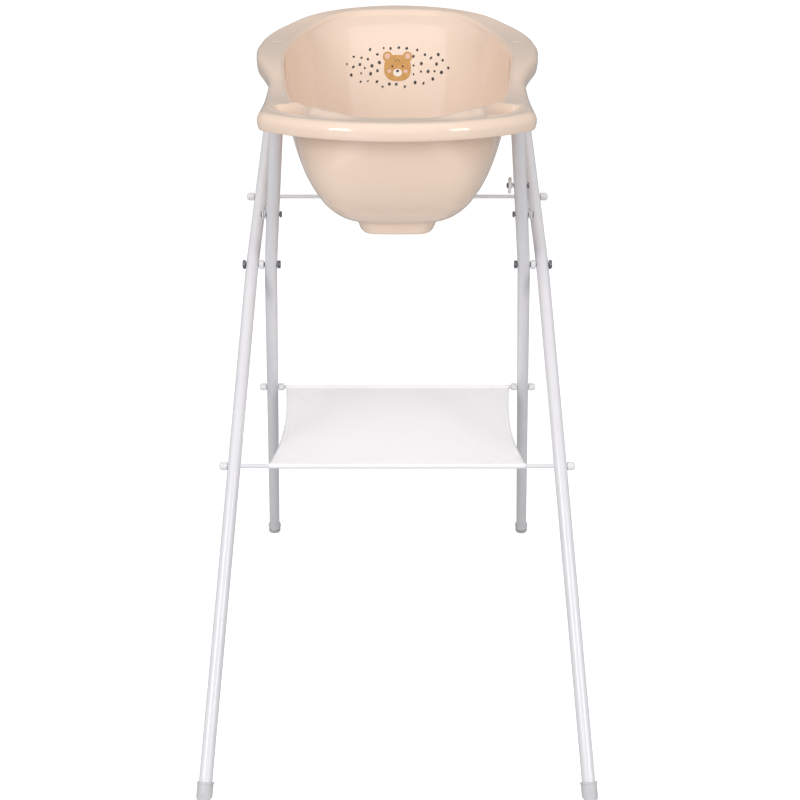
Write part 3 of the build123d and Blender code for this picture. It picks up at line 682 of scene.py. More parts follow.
    def bowl_point(self, angle: float, rise: float, grow: float) -> Plan:
        """Point of the bowl's plan at a height above its outside floor."""
        share = min(max(rise, 0.0) / self.side_curve, 1.0)
        curve = (1 - (1 - share) ** 2) ** self.side_power
        power = self.foot_power + (self.plan_power - self.foot_power) * ease(share)
        floor_share = self.floor_half / self.bowl_half(self.centre_y)
        foot = self.foot_y + self.floor_ends[0] - (self.floor_ends[0] - self.decks[0]) * curve
        head = self.head_y - self.floor_ends[1]
        head += (self.floor_ends[1] - self.decks[1]) * rise / self.bowl_depth
        tuck, tuck_height = self.head_tuck
        head -= tuck * (1 - min(max(rise, 0.0) / tuck_height, 1.0)) ** 2
        return self.oval(angle, foot, head, floor_share + (1 - floor_share) * curve, grow, power)

    def edge_point(self, angle: float) -> Point:
        """Point where the bowl meets the rim line."""
        rise = self.bowl_depth - 40
        for _ in range(14):
            x, y = self.bowl_point(angle, rise, 0.0)
            rise = self.rim_height(y) - self.floor_z
        return x, y, rise

    def spaced_angles(self) -> list[float]:
        """Angles whose edge points are evenly spaced, closer at the foot corners."""
        count = 1440
        places = [self.edge_point(2 * math.pi * k / count) for k in range(count + 1)]
        reached = [0.0]
        for (x0, y0, _), (x1, y1, _) in zip(places, places[1:]):
            near = 1.0 if y0 > -180 or abs(x0) < 50 else 1.7
            reached.append(reached[-1] + near * math.hypot(x1 - x0, y1 - y0))
        angles = []
        step = 0
        for k in range(self.stations):
            wanted = reached[-1] * k / self.stations
            while reached[step + 1] < wanted:
                step += 1
            part = (wanted - reached[step]) / (reached[step + 1] - reached[step])
            angles.append(2 * math.pi * (step + part) / count)
        return angles

    def outline_table(self) -> list[tuple[float, float]]:
        """Direction and distance of the rim's outline from its middle, right half."""
        corner = self.rim_half - self.corner_inset
        radius = (corner**2 + self.bow**2) / (2 * self.bow)
        bow_y = self.foot_y + radius
        start = (self.rim_half, self.foot_y + self.wings[0] * self.length)
        end = (self.rim_half + self.flare, self.foot_y + self.wings[1] * self.length)
        lean = (start[0] - corner) / (start[1] - (bow_y - math.sqrt(radius**2 - corner**2)))
        round_y = self.head_y - self.head_round
        centre = (corner - self.corner_radius, bow_y)
        for _ in range(20):
            y = bow_y - math.sqrt((radius - self.corner_radius) ** 2 - centre[0] ** 2)
            centre = (start[0] + (y - start[1]) * lean - self.corner_radius, y)
        leave = math.atan2(centre[1] - bow_y, centre[0])
        places = []
        for k in range(80):
            angle = -math.pi / 2 + (leave + math.pi / 2) * k / 80
            places.append((radius * math.cos(angle), bow_y + radius * math.sin(angle)))
        for k in range(40):
            angle = leave * (1 - k / 40)
            places.append(
                (
                    centre[0] + self.corner_radius * math.cos(angle),
                    centre[1] + self.corner_radius * math.sin(angle),
                )
            )
        first = (centre[0] + self.corner_radius, centre[1])
        for k in range(60):
            places.append(
                (first[0] + (start[0] - first[0]) * k / 60, first[1] + (start[1] - first[1]) * k / 60)
            )
        for k in range(60):
            places.append(
                (start[0] + (end[0] - start[0]) * ease(k / 60), start[1] + (end[1] - start[1]) * k / 60)
            )
        for k in range(121):
            angle = math.pi / 2 * k / 120
            places.append((end[0] * math.cos(angle), round_y + self.head_round * math.sin(angle)))
        return [(math.atan2(y - self.centre_y, x), math.hypot(x, y - self.centre_y)) for x, y in places]

    def rim_point(self, inner: Sequence[float]) -> Plan:
        """Point of the rim's outline in line with a point of the opening."""
        side = -1.0 if inner[0] < 0 else 1.0
        direction = math.atan2(inner[1] - self.centre_y, abs(inner[0]))
        table = self.outline
        low, high = 0, len(table) - 1
        while high - low > 1:
            middle = (low + high) // 2
            low, high = (middle, high) if table[middle][0] <= direction else (low, middle)
        part = (direction - table[low][0]) / max(table[high][0] - table[low][0], 1e-9)
        reach = table[low][1] + (table[high][1] - table[low][1]) * part
        return side * reach * math.cos(direction), self.centre_y + reach * math.sin(direction)

    def outward(self, ring: Sequence[Plan]) -> list[Plan]:
        """Directions square to a closed ring of points, smoothed along it."""
        count = len(ring)
        square = []
        for k in range(count):
            (x0, y0), (x1, y1) = ring[k - 1], ring[(k + 1) % count]
            along = math.hypot(x1 - x0, y1 - y0)
            out = ((y0 - y1) / along, (x1 - x0) / along)
            if out[0] * ring[k][0] + out[1] * (ring[k][1] - self.centre_y) < 0:
                out = (-out[0], -out[1])
            square.append(out)
        return square

    # -- details of the deck --
    def relief(self, x: float, y: float, inner: float) -> float:
        """Height that the soap dishes, their lips and the foot humps add to the deck.

        Args:
            x: Place across the tub.
            y: Place along the tub.
            inner: Distance from the opening's edge.

        Returns:
            Height to add, in millimetres.
        """
        if y > -180:
            return 0.0
        middle_x, middle_y, half_wide, half_long, depth, turn = self.dish
        side = abs(x) - middle_x
        along = y - middle_y
        turned = math.radians(turn)
        across = side * math.cos(turned) - along * math.sin(turned)
        length = side * math.sin(turned) + along * math.cos(turned)
        out = math.hypot(across / half_wide, length / half_long)
        well = -depth * ease((1.05 - out) / 0.5)
        fade = 1 - ease((abs(length) - 26) / 40)
        bank = (
            self.bank_height * ease((out - 0.8) / 0.5) * ease((6 - across) / 18)
            * fade * ease((64 - inner) / 26)
        )
        brow = 1.5 * math.exp(-(((out - 1.12) / 0.12) ** 2)) * ease((across + 2) / 8)
        hump = (
            self.hump_height * (1 - ease((abs(x) - 104) / 40))
            * ease((abs(x) - 44) / 58) * (1 - ease((inner - 6) / 26))
        )
        return well + bank + brow + hump * ease((-y - 270) / 45)

    def deck_z(self, x: float, y: float, inner: float) -> float:
        """Height of the deck's top."""
        return self.rim_height(y) + self.relief(x, y, inner)

    # -- rows of the skin --
    def rows(self) -> list[list[Point]]:
        """Every row of the skin, from the middle of the floor to its underside."""
        count = self.stations
        rows: list[list[Point]] = []
        cavity = self.wall
        for share in (0.3, 0.6, 0.85):
            rows.append([(*self.shrunk(k, share, cavity, 0.0), self.floor_z + cavity) for k in range(count)])
        walls = 26
        roll = self.inner_roll
        for step in range(walls):
            share = (step / walls) ** 1.7
            row = []
            for k in range(count):
                top = self.edge[k][2] + self.relief(self.edge[k][0], self.edge[k][1], 0.0) - roll
                rise = cavity + (top - cavity) * share
                row.append((*self.wall_plan(k, rise, 0.0), self.floor_z + rise))
            rows.append(row)
        for step in range(6):
            rows.append([self.inner_lip(k, math.pi / 2 * (1 - step / 5), roll, 0.0) for k in range(count)])
        decks = 22
        for step in range(1, decks):
            rows.append([self.deck_point(k, step / decks, 0.0) for k in range(count)])
        for step in range(7):
            rows.append([self.outer_lip(k, math.pi / 2 * step / 6, 0.0) for k in range(count)])
        skirts = 5
        for step in range(1, skirts + 1):
            rows.append([self.skirt_point(k, step / skirts, 0.0) for k in range(count)])
        for inward, up in ((0.7, -1.3), (self.wall / 2, -1.6), (self.wall - 0.7, -1.3)):
            rows.append([self.skirt_foot(k, inward, up) for k in range(count)])
        for step in range(skirts, 0, -1):
            rows.append([self.skirt_point(k, step / skirts, self.wall) for k in range(count)])
        for step in range(6, -1, -1):
            rows.append([self.outer_lip(k, math.pi / 2 * step / 6, self.wall) for k in range(count)])
        for step in range(decks - 1, 0, -1):
            rows.append([self.deck_point(k, step / decks, self.wall) for k in range(count)])
        for step in range(5, -1, -1):
            rows.append(
                [self.inner_lip(k, math.pi / 2 * (1 - step / 5), roll, self.wall) for k in range(count)]
            )
        for step in range(walls - 1, -1, -1):
            share = (step / walls) ** 1.7
            row = []
            for k in range(count):
                rise = (self.edge[k][2] - self.wall - roll) * share
                x, y = self.wall_plan(k, rise, self.wall + self.belt(k, rise))
                row.append((x, y, self.floor_z + rise))
            rows.append(row)
        ring = self.pedestal + 1.0
        for share in (1.0, 0.9, 0.6, 0.3, 0.12):
            grow = -self.pedestal_taper * (1 - share)
            rows.append(
                [
                    (
                        *self.pedestal_plan(k, grow),
                        self.base + ring * share - 1.0 * (share == 1.0),
                    ) for k in range(count)
                ]
            )
        for grow, up in ((0.4, 0.9), (1.2, 0.2), (2.0, 0.0), (2.8, 0.2), (3.6, 0.9)):
            rows.append(
                [(*self.pedestal_plan(k, -self.pedestal_taper - grow), self.base + up) for k in range(count)]
            )
        for share in (0.3, 0.9):
            grow = -self.pedestal_taper * (1 - share) - self.pedestal_wall
            rows.append(
                [(*self.pedestal_plan(k, grow), self.base + self.pedestal * share) for k in range(count)]
            )
        for share in (0.94, 0.6, 0.3):
            rows.append(
                [(*self.shrunk(k, share, 0.0, -self.pedestal_wall), self.floor_z) for k in range(count)]
            )
        return rows

    def wall_plan(self, k: int, rise: float, grow: float) -> Plan:
        """Point of the wall in plan at one station."""
        return self.bowl_point(self.angles[k], rise, grow)

    def belt(self, k: int, rise: float) -> float:
        """How far the soft crease low on the outside stands out."""
        angle = self.angles[k]
        front = ease((-math.cos(angle) - self.belt_front[0]) / self.belt_front[1])
        return self.belt_height * ease((40 - rise) / 9) * ease(rise / 12) * (1 - front)

    def shrunk(self, k: int, share: float, rise: float, grow: float) -> Plan:
        """Point of the floor, drawn in towards its middle."""
        x, y = self.wall_plan(k, rise, grow)
        middle = (self.foot_y + self.floor_ends[0] + self.head_y - self.floor_ends[1]) / 2
        return x * share, middle + (y - middle) * share

    def pedestal_plan(self, k: int, grow: float) -> Plan:
        """Point of the pedestal's ring in plan at one station."""
        share = self.floor_half / self.bowl_half(self.centre_y)
        foot = self.foot_y + self.floor_ends[0]
        return self.oval(self.angles[k], foot, self.head_y - self.floor_ends[1], share, grow, self.foot_power)

    def inner_lip(self, k: int, turn: float, radius: float, down: float) -> Point:
        """Point on the opening's rolled edge; down is 0 on top and the wall below."""
        (x, y, _), (out_x, out_y) = self.edge[k], self.edge_out[k]
        away = radius * (1 - math.sin(turn)) + down
        x, y = x + out_x * away, y + out_y * away
        return x, y, self.deck_z(x, y, away) - down - radius * (1 - math.cos(turn))

    def outer_roll(self, y: float) -> float:
        """Radius of the rim's outer edge at a place along the tub."""
        foot, head = self.outer_rolls
        return foot + (head - foot) * ease((y - self.centre_y) / (self.length / 3))

    def outer_lip(self, k: int, turn: float, down: float) -> Point:
        """Point on the rim's rolled outer edge; down is 0 on top and the wall below."""
        (x, y), (out_x, out_y) = self.rim[k], self.rim_out[k]
        radius = self.outer_roll(y) - down
        away = radius * (1 - math.sin(turn)) + down
        x, y = x - out_x * away, y - out_y * away
        return x, y, self.rim_height(y) + self.relief(x, y, 40.0) - down - radius * (1 - math.cos(turn))

    def deck_point(self, k: int, share: float, down: float) -> Point:
        """Point on the deck between its two rolled edges."""
        inner = self.inner_lip(k, 0.0, self.inner_roll, down)
        outer = self.outer_lip(k, 0.0, down)
        x = inner[0] + (outer[0] - inner[0]) * share
        y = inner[1] + (outer[1] - inner[1]) * share
        away = self.inner_roll + down + math.hypot(x - inner[0], y - inner[1])
        return x, y, self.deck_z(x, y, away) - down

    def skirt_depth(self, y: float) -> float:
        """Depth of the skirt below the rim line."""
        return self.skirts[0] + (self.skirts[1] - self.skirts[0]) * ease((y - self.foot_y) / self.length)

    def skirt_point(self, k: int, share: float, inward: float) -> Point:
        """Point on the skirt, which curls in a little towards its lower edge."""
        (x, y), (out_x, out_y) = self.rim[k], self.rim_out[k]
        top = self.outer_roll(y)
        depth = top + (self.skirt_depth(y) - 1.5 - top) * share
        curl = inward + 2.2 * share**2
        return x - out_x * curl, y - out_y * curl, self.rim_height(y) - depth

    def skirt_foot(self, k: int, inward: float, up: float) -> Point:
        """Point on the skirt's rounded lower edge."""
        (x, y), (out_x, out_y) = self.rim[k], self.rim_out[k]
        away = 2.2 + inward
        return x - out_x * away, y - out_y * away, self.rim_height(y) - self.skirt_depth(y) + 1.6 + up

    # -- pieces --
    def build_shell(self) -> bpy.types.Object:
        """Make the shell and let it stand for its CAD node.

        Returns:
            The shell's object.
        """
        rows = self.rows()
        count = self.stations
        points = [point for row in rows for point in row]
        faces: list[tuple[int, ...]] = []
        for step in range(len(rows) - 1):
            for k in range(count):
                low, high = step * count, (step + 1) * count
                turn = (k + 1) % count
                faces.append((low + k, low + turn, high + turn, high + k))
        for start, flip in ((0, False), ((len(rows) - 1) * count, True)):
            for k in range(count // 2):
                ring = [
                    start + k, start + k + 1, start + (count - k - 1) % count,
                    start + (count - k) % count,
                ]
                across = list(dict.fromkeys(ring))
                faces.append(tuple(across if flip else across[::-1]))
        shell = make_object("tub_body", points, faces)
        smooth = shell.modifiers.new("soft_form", "SUBSURF")
        smooth.levels = smooth.render_levels = 1
        TUB_PLASTIC.dress(shell)
        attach(shell, "tub")
        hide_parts("tub_shell")
        LOG.info("%s has %d faces", shell.name, len(faces))
        return shell


@dataclass
class LegSeats:
    """Sockets and stop ribs under the rim that the four leg ends bear on.

    Attributes:
        places: X, Y, bottom and top of each socket, and the rib's side along Y.
        radius: Socket's radius.
        rib: Thickness and depth of a stop rib.
        rib_away: From the socket's middle to the rib's middle.
    """

    places: tuple[tuple[float, float, float, float, int], ...] = (
        (216.0, 212.7, 1097.7, 1118.0, 1),
        (188.6, -184.7, 1054.7, 1071.6, -1),
    )
    radius: float = 12.9
    rib: Plan = (4.0, 24.0)
    rib_away: float = 15.2

    def build(self) -> bpy.types.Object:
        """Make all four seats as one piece.

        Returns:
            The seats' object.
        """
        shape = bmesh.new()
        for x, y, bottom, top, side_y in self.places:
            for side in (-1, 1):
                self.add_socket(shape, side * x, y, bottom, top)
                self.add_rib(shape, side * x, y + side_y * self.rib_away, top)
        mesh = bpy.data.meshes.new("tub_leg_seats")
        shape.to_mesh(mesh)
        shape.free()
        mesh.polygons.foreach_set("use_smooth", [True] * len(mesh.polygons))
        seats = bpy.data.objects.new("tub_leg_seats", mesh)
        bpy.context.scene.collection.objects.link(seats)
        TUB_PLASTIC.dress(seats)
        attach(seats, "tub")
        LOG.info("%s has %d faces", seats.name, len(mesh.polygons))
        return seats

    def add_socket(self, shape: bmesh.types.BMesh, x: float, y: float, bottom: float, top: float) -> None:
        """Add one round socket with a rounded lower edge and a dimple."""
        profile = ((0.0, 1.2), (0.45, 1.0), (0.7, 0.2), (0.86, 0.0), (0.96, 0.35), (1.0, 1.3))
        rings = [(share * self.radius, bottom + rise) for share, rise in profile[1:]]
        rings.append((self.radius, top))
        count = 40
        middle = shape.verts.new((x * MM, y * MM, (bottom + profile[0][1]) * MM))
        previous = None
        for reach, height in rings:
            ring = []
            for k in range(count):
                angle = 2 * math.pi * k / count
                ring.append(
                    shape.verts.new(
                        ((x + reach * math.cos(angle)) * MM, (y + reach * math.sin(angle)) * MM, height * MM)
                    )
                )
            for k in range(count):
                turn = (k + 1) % count
                if previous is None:
                    shape.faces.new((middle, ring[turn], ring[k]))
                else:
                    shape.faces.new((previous[k], previous[turn], ring[turn], ring[k]))
            previous = ring

    def add_rib(self, shape: bmesh.types.BMesh, x: float, y: float, top: float) -> None:
        """Add one stop rib with rounded lower corners."""
        made = bmesh.ops.create_cube(shape, size=1.0)["verts"]
        for vert in made:
            narrow = 0.82 if vert.co.z < 0 else 1.0
            vert.co = Vector((
                (x + vert.co.x * 2 * self.radius * narrow) * MM,
                (y + vert.co.y * self.rib[0] * (0.8 if vert.co.z < 0 else 1.0)) * MM,
                (top - self.rib[1] * (0.5 - vert.co.z)) * MM,
            ))
        edges = {edge for vert in made for edge in vert.link_edges}
        bmesh.ops.bevel(shape, geom=list(edges), offset=0.9 * MM, segments=3, affect="EDGES", profile=0.6)


# ---- Print -----------------------------------------------------------------
@dataclass
class Print:
    """Printed decoration on the head wall: a plain bear's face among specks.

    Attributes:
        centre: Middle of the face, X and Z.
        cluster: Half width and half height of the field of specks.
        specks: How many specks are tried.
        seed: Start of the specks' random places.
    """

    centre: Plan = (0.0, 1056.0)
    cluster: Plan = (98.0, 35.0)
    specks: int = 4000
    seed: int = 41

    def build(self, tub: Tub) -> None:
        """Lay every inked shape on the tub's inside.

        Args:
            tub: The tub, for the shape of its head wall.
        """
        self.tub = tub
        head = [self.disc(0, -2, 25.5, 22.0, 2.6)]
        ears = [self.disc(side * 19, 17, 9.2, 8.8, 2.0) for side in (-1, 1)]
        self.lay("print_bear_ears", ears, INK_OCHRE, 0.25)
        self.lay("print_bear_head", head, INK_OCHRE, 0.33)
        inner = [self.disc(side * 19.5, 17.6, 5.0, 4.8, 2.0) for side in (-1, 1)]
        cheeks = [self.disc(side * 15.5, -7.5, 4.0, 2.8, 2.0) for side in (-1, 1)]
        self.lay("print_bear_blush", inner + cheeks, INK_PINK, 0.42)
        self.lay("print_bear_muzzle", [self.disc(0, -10, 8.2, 6.4, 2.2)], INK_CREAM, 0.42)
        eyes = [self.disc(side * 10.0, 0.5, 1.7, 2.0, 2.0) for side in (-1, 1)]
        nose = [self.disc(0, -7.4, 3.1, 2.1, 2.4)]
        brow = [self.disc(dx, 12 - 0.12 * dx * dx, 0.8, 1.5, 2.0) for dx in (-4.0, 0.0, 4.0)]
        self.lay("print_bear_features", eyes + nose + brow, INK_DARK, 0.5)
        self.lay("print_specks", self.scatter(), INK_DARK, 0.28)

    def disc(
        self, x: float, z: float, wide: float, high: float, power: float, turn: float = 0.0,
    ) -> list[list[Plan]]:
        """Rings of one rounded shape, from its middle out.

        Args:
            x: Middle across, from the face's middle.
            z: Middle in height, from the face's middle.
            wide: Half width.
            high: Half height.
            power: Squareness; 2 is an ellipse.
            turn: Turn in radians.

        Returns:
            Rings of places; the first is the middle alone.
        """
        count = 12 if wide < 4 else 40
        steps = 1 if wide < 4 else 6
        rings = [[(x, z)]]
        for step in range(1, steps + 1):
            ring = []
            for k in range(count):
                angle = 2 * math.pi * k / count
                across = wide * step / steps * signed_power(math.cos(angle), 2 / power)
                up = high * step / steps * signed_power(math.sin(angle), 2 / power)
                ring.append((
                    x + across * math.cos(turn) - up * math.sin(turn),
                    z + across * math.sin(turn) + up * math.cos(turn),
                ))
            rings.append(ring)
        return rings

    def scatter(self) -> list[list[list[Plan]]]:
        """Specks of mixed sizes, apart from each other and off the face."""
        chance = random.Random(self.seed)
        kept: list[tuple[float, float, float]] = []
        shapes = []
        for _ in range(self.specks):
            x = chance.uniform(-self.cluster[0], self.cluster[0])
            z = chance.uniform(-self.cluster[1], self.cluster[1])
            if (x / self.cluster[0]) ** 2 + (z / self.cluster[1]) ** 2 > 1:
                continue
            if abs(x) < 30 and -27 < z < 29:
                continue
            size = chance.uniform(2.0, 3.4)
            if any(math.hypot(x - a, z - b) < 5.6 + 1.15 * (size + c) for a, b, c in kept):
                continue
            kept.append((x, z, size))
            shapes.append(
                self.disc(x, z, size * chance.uniform(0.6, 1.0), size, 2.2, chance.uniform(0, math.pi))
            )
        LOG.info("%d specks", len(shapes))
        return shapes

    def wall_y(self, x: float, z: float) -> float:
        """Depth of the head wall behind a place seen from the foot end."""
        rise = z - self.tub.floor_z
        low, high = 0.0, math.pi / 2
        for _ in range(30):
            middle = (low + high) / 2
            wide = self.tub.bowl_point(middle, rise, 0.0)[0] > abs(x)
            low, high = (low, middle) if wide else (middle, high)
        return self.tub.bowl_point(low, rise, 0.0)[1]

    def on_wall(self, place: Plan, lift: float) -> Point:
        """Place on the head wall, a little proud of it."""
        x, z = place[0] + self.centre[0], place[1] + self.centre[1]
        y = self.wall_y(x, z)
        across = Vector((2.0, self.wall_y(x + 1, z) - self.wall_y(x - 1, z), 0.0))
        up = Vector((0.0, self.wall_y(x, z + 1) - self.wall_y(x, z - 1), 2.0))
        square = up.cross(across).normalized()
        square = -square if square.y > 0 else square
        return x + square.x * lift, y + square.y * lift, z + square.z * lift

    def lay(self, name: str, shapes: list[list[list[Plan]]], finish: Finish, lift: float) -> None:
        """Make one inked piece from its shapes."""
        points: list[Point] = []
        faces: list[tuple[int, ...]] = []
        for rings in shapes:
            start = len(points)
            points.append(self.on_wall(rings[0][0], lift))
            count = len(rings[1])
            for ring in rings[1:]:
                points.extend(self.on_wall(place, lift) for place in ring)
            for k in range(count):
                turn = (k + 1) % count
                faces.append((start, start + 1 + k, start + 1 + turn))
                for step in range(len(rings) - 2):
                    low, high = start + 1 + step * count, start + 1 + (step + 1) * count
                    faces.append((low + k, high + k, high + turn, low + turn))
        piece = make_object(name, points, faces)
        finish.dress(piece)
        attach(piece, "tub")
        LOG.info("%s has %d faces", name, len(faces))


# ---- Shelf -----------------------------------------------------------------
@dataclass
class Shelf:
    """Cloth shelf hemmed round two rods, with its stitches.

    Attributes:
        half_width: Half width at the hems.
        waist: How far each side edge curves in.
        rod_y: Rods' distance from the pivot's plane.
        rod_z: Rods' height.
        wrap: Radius of the cloth's middle round a rod.
        sag: How far the cloth hangs in the middle.
        flap: Length of the hem's lower layer.
        columns: Columns of faces across.
        thickness: Thickness of the cloth.
        seed: Start of the creases' random places.
    """

    half_width: float = 220.0
    waist: float = 12.0
    rod_y: float = 195.77
    rod_z: float = 457.0
    wrap: float = 4.25
    sag: float = 9.0
    flap: float = 15.0
    columns: int = 88
    thickness: float = 0.7
    seed: int = 7

    def __post_init__(self) -> None:
        """Draw the creases' places."""
        chance = random.Random(self.seed)
        self.waves = [
            (
                chance.uniform(0.02, 0.055), chance.uniform(-0.02, 0.02), chance.uniform(0, 6.28),
                chance.uniform(0.12, 0.3),
            )
            for _ in range(7)
        ]

    def edge_half(self, y: float) -> float:
        """Half width of the cloth at a place along it."""
        return self.half_width - self.waist * (1 - min(abs(y) / self.rod_y, 1.0) ** 2)

    def line(self) -> list[tuple[float, float, float]]:
        """Side view of the cloth: Y, Z and how free it is to crease."""
        rear: list[tuple[float, float, float]] = []
        panel_end = self.rod_y - 9.0
        steps = 56
        for k in range(steps + 1):
            y = panel_end * k / steps
            z = self.rod_z + 0.6 - self.sag * (1 - (y / self.rod_y) ** 2)
            rear.append((y, z, 1 - ease((y - panel_end + 60) / 60)))
        top_z = self.rod_z + self.wrap
        for share in (0.35, 0.7):
            z = rear[steps][1] + (top_z - rear[steps][1]) * ease(share)
            rear.append((panel_end + (self.rod_y - panel_end) * share, z, 0.0))
        for k in range(13):
            angle = math.pi / 2 - math.pi * k / 12
            rear.append(
                (self.rod_y + self.wrap * math.cos(angle), self.rod_z + self.wrap * math.sin(angle), 0.0)
            )
        for k in range(1, 9):
            share = k / 8
            y = self.rod_y - self.flap * share
            under = self.rod_z + 0.6 - self.sag * (1 - (y / self.rod_y) ** 2) - 1.0
            z = self.rod_z - self.wrap + (under - self.rod_z + self.wrap) * ease(share * 1.3)
            rear.append((y, z, 0.0))
        front = [(-y, z, free) for y, z, free in rear[1:]]
        return front[::-1] + rear

    def crease(self, x: float, y: float) -> float:
        """Small waves in the cloth, stronger towards the corners."""
        height = sum(size * math.sin(a * x + b * y + start) for a, b, start, size in self.waves)
        pull = 0.0
        for corner_x in (-1, 1):
            for corner_y in (-1, 1):
                dx, dy = corner_x * self.half_width - x, corner_y * self.rod_y - y
                reach = math.hypot(dx, dy)
                turn = math.atan2(dy * corner_y, dx * corner_x)
                pull += 0.9 * math.sin(turn * 13) * math.exp(-(((reach - 45) / 42) ** 2))
        return height + pull

    def build(self) -> None:
        """Make the cloth and its stitches, and hang them between both frames."""
        line = self.line()
        points: list[Point] = []
        for y, z, free in line:
            half = self.edge_half(y)
            for column in range(self.columns + 1):
                share = 2 * column / self.columns - 1
                x = half * share
                curl = 0.8 * ease((abs(share) - 0.965) / 0.035) * free
                points.append((x, y, z + free * self.crease(x, y) + curl))
        wide = self.columns + 1
        faces = [
            (row * wide + k, row * wide + k + 1, (row + 1) * wide + k + 1, (row + 1) * wide + k)
            for row in range(len(line) - 1)
            for k in range(self.columns)
        ]
        cloth = make_object("shelf_cloth", points, faces)
        body = cloth.modifiers.new("cloth_body", "SOLIDIFY")
        body.thickness = self.thickness * MM
        body.offset = 0.0
        SHELF_CLOTH.dress(cloth)
        stitches = self.build_stitches()
        for piece in (cloth, stitches):
            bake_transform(piece)
        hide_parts("shelf_panel", "front_hem", "rear_hem")

    def build_stitches(self) -> bpy.types.Object:
        """Make rows of stitches along both hems and both side edges."""
        runs: list[tuple[float, float, bool]] = []
        pitch = 4.4
        hem_y = self.rod_y - self.flap + 3.5
        count = int(2 * (self.edge_half(hem_y) - 4) / pitch)
        for k in range(count):
            x = (k - (count - 1) / 2) * pitch
            runs += [(x, hem_y, True), (x, -hem_y, True)]
        count = int(2 * (hem_y - 4) / pitch)
        for k in range(count):
            y = (k - (count - 1) / 2) * pitch
            for side in (-1, 1):
                runs.append((side * (self.edge_half(y) - 9.0), y, False))
        points: list[Point] = []
        faces: list[tuple[int, ...]] = []
        for x, y, across in runs:
            free = 1 - ease((abs(y) - self.rod_y + 69) / 60)
            z = self.rod_z + 0.6 - self.sag * (1 - (y / self.rod_y) ** 2) + free * self.crease(x, y)
            self.add_stitch(points, faces, (x, y, z + self.thickness / 2 + 0.05), across)
        stitches = make_object("shelf_stitches", points, faces)
        THREAD.dress(stitches)
        return stitches

    def add_stitch(
        self, points: list[Point], faces: list[tuple[int, ...]], place: Point, across: bool,
    ) -> None:
        """Add one stitch: a short thread that dips at both ends."""
        start = len(points)
        for along, radius, up in (
            (-1.5, 0.1, -0.3), (-0.9, 0.26, -0.02), (0.0, 0.3, 0.06), (0.9, 0.26, -0.02),
            (1.5, 0.1, -0.3),
        ):
            for k in range(6):
                angle = math.pi / 3 * k
                side, rise = radius * math.cos(angle), radius * math.sin(angle) + up
                dx, dy = (along, side) if across else (side, along)
                points.append((place[0] + dx, place[1] + dy, place[2] + rise))
        for ring in range(4):
            for k in range(6):
                low, high, turn = start + ring * 6, start + (ring + 1) * 6, (k + 1) % 6
                faces.append((low + k, low + turn, high + turn, high + k))
        faces.append(tuple(start + k for k in range(6)))
        faces.append(tuple(start + 24 + k for k in range(6)))


# ---- Studio ----------------------------------------------------------------
@dataclass
class Softbox:
    """One rectangular studio light.

    Attributes:
        name: The light's name.
        place: Where it stands, in metres.
        aim: What it points at, in metres.
        size: Width and height in metres.
        power: Power in watts.
        only: Start of the names of the pieces that it lights, or nothing for all.
    """

    name: str
    place: Point
    aim: Point
    size: Plan
    power: float
    only: str = ""

    def build(self) -> None:
        """Put the light up, once the pieces are made."""
        light = bpy.data.lights.new(self.name, "AREA")
        light.shape = "RECTANGLE"
        light.size, light.size_y = self.size
        light.energy = self.power
        lamp = bpy.data.objects.new(self.name, light)
        lamp.location = self.place
        lamp.rotation_euler = (Vector(self.aim) - Vector(self.place)).to_track_quat("-Z", "Y").to_euler()
        bpy.context.scene.collection.objects.link(lamp)
        if self.only:
            lit = bpy.data.collections.new(f"{self.name}_lit")
            for piece in bpy.context.scene.objects:
                if piece.type == "MESH" and piece.name.startswith(self.only):
                    lit.objects.link(piece)
            lamp.light_linking.receiver_collection = lit


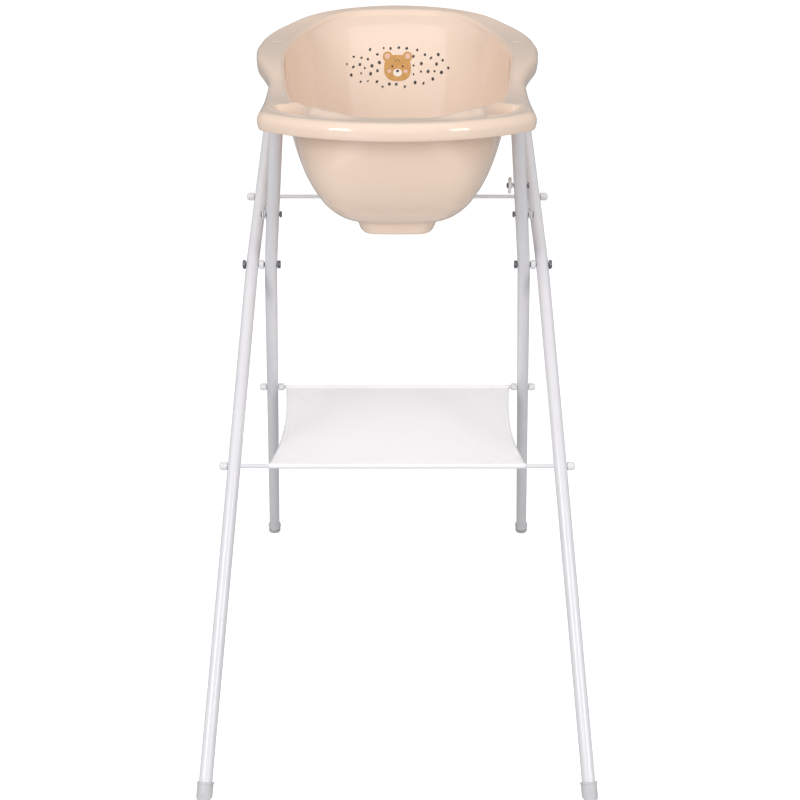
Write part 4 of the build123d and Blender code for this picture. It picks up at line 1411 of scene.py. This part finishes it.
@dataclass
class Studio:
    """Camera, lights, surround and floor.

    Attributes:
        camera_place: Camera's place in metres.
        camera_tilt: Camera's turn from looking straight down, in degrees.
        lens: Focal length in millimetres on a 36 mm sensor.
        lights: The softboxes.
        surround: Brightness of the surround as it lights the object.
        floor_glow: Light that the floor gives by itself.
    """

    camera_place: Point = (0.0047, -2.4044, 1.4108)
    camera_tilt: float = 69.32
    lens: float = 63.48
    lights: tuple[Softbox, ...] = (
        Softbox("key_left", (-1.9, -2.7, 2.0), (0.0, 0.0, 0.95), (0.8, 1.3), 30.0),
        Softbox("key_right", (2.1, -2.6, 1.8), (0.0, 0.0, 0.95), (0.7, 1.2), 20.0),
        Softbox("overhead", (0.0, -0.4, 3.0), (0.0, 0.0, 0.9), (1.8, 1.4), 8.0),
        Softbox("low_left", (-0.9, -1.7, 0.3), (-0.1, -0.4, 1.0), (1.1, 0.9), 2.4, "tub"),
        Softbox("low_right", (0.9, -1.7, 0.3), (0.1, -0.4, 1.0), (1.0, 0.9), 1.8, "tub"),
        Softbox("shelf_fill", (0.0, -0.1, 0.84), (0.0, -0.02, 0.4), (0.46, 0.4), 0.75, "shelf"),
    )
    surround: float = 0.88
    floor_glow: float = 0.8

    def build(self) -> None:
        """Make the studio."""
        scene = bpy.context.scene
        scene.view_settings.view_transform = "Standard"
        lens = bpy.data.cameras.new("camera")
        lens.lens, lens.sensor_width = self.lens, 36.0
        camera = bpy.data.objects.new("camera", lens)
        camera.location = self.camera_place
        camera.rotation_euler = Euler((math.radians(self.camera_tilt), 0.0, 0.0))
        scene.collection.objects.link(camera)
        scene.camera = camera
        for light in self.lights:
            light.build()
        self.build_surround(scene)
        self.build_floor()
        LOG.info("studio with %d lights", len(self.lights))

    def build_surround(self, scene: bpy.types.Scene) -> None:
        """Make a surround that is white to look at and softer as a light."""
        world = bpy.data.worlds.new("surround")
        world.use_nodes = True
        wiring = Wiring(world.node_tree)
        background = world.node_tree.nodes["Background"]
        axes = wiring.add("SeparateXYZ", {0: wiring.add("TexCoord").outputs["Generated"]})
        sideways = wiring.maths("POWER", wiring.maths("ABSOLUTE", axes.outputs[0]), 1.6)
        front = wiring.span(axes.outputs[1], -0.7, 0.5, self.surround, self.surround * 0.45)
        glow = wiring.maths("MULTIPLY", front, wiring.span(sideways, 0.0, 1.0, 1.0, 0.8))
        seen = wiring.add("LightPath").outputs["Is Camera Ray"]
        lit = wiring.maths("MAXIMUM", glow, wiring.maths("MULTIPLY", seen, 1.05))
        wiring.feed(background.inputs["Color"], (1.0, 1.0, 1.0, 1.0))
        wiring.feed(background.inputs["Strength"], lit)
        scene.world = world

    def build_floor(self) -> None:
        """Make the plain pale floor."""
        reach = 30000.0
        floor = make_object(
            "floor",
            [(-reach, -reach, 0), (reach, -reach, 0), (reach, reach, 0), (-reach, reach, 0)],
            [(0, 1, 2, 3)],
        )
        material = bpy.data.materials.new("floor_white")
        material.use_nodes = True
        floor.data.materials.append(material)
        shader = material.node_tree.nodes["Principled BSDF"]
        shader.inputs["Base Color"].default_value = (0.6, 0.6, 0.6, 1.0)
        shader.inputs["Roughness"].default_value = 0.9
        shader.inputs["Specular IOR Level"].default_value = 0.1
        shader.inputs["Emission Color"].default_value = (1.0, 1.0, 1.0, 1.0)
        wiring = Wiring(material.node_tree)
        seen = wiring.add("LightPath").outputs["Is Camera Ray"]
        wiring.feed(shader.inputs["Emission Strength"], wiring.maths("MULTIPLY", seen, self.floor_glow))


def main() -> None:
    """Build every piece in order."""
    logging.basicConfig(level=logging.INFO, format="%(name)s: %(message)s")
    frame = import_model()
    Stand().build(frame["nodes"])
    tub = Tub()
    tub.build_shell()
    LegSeats().build()
    Print().build(tub)
    Shelf().build()
    Studio().build()


if __name__ == "__main__":
    main()
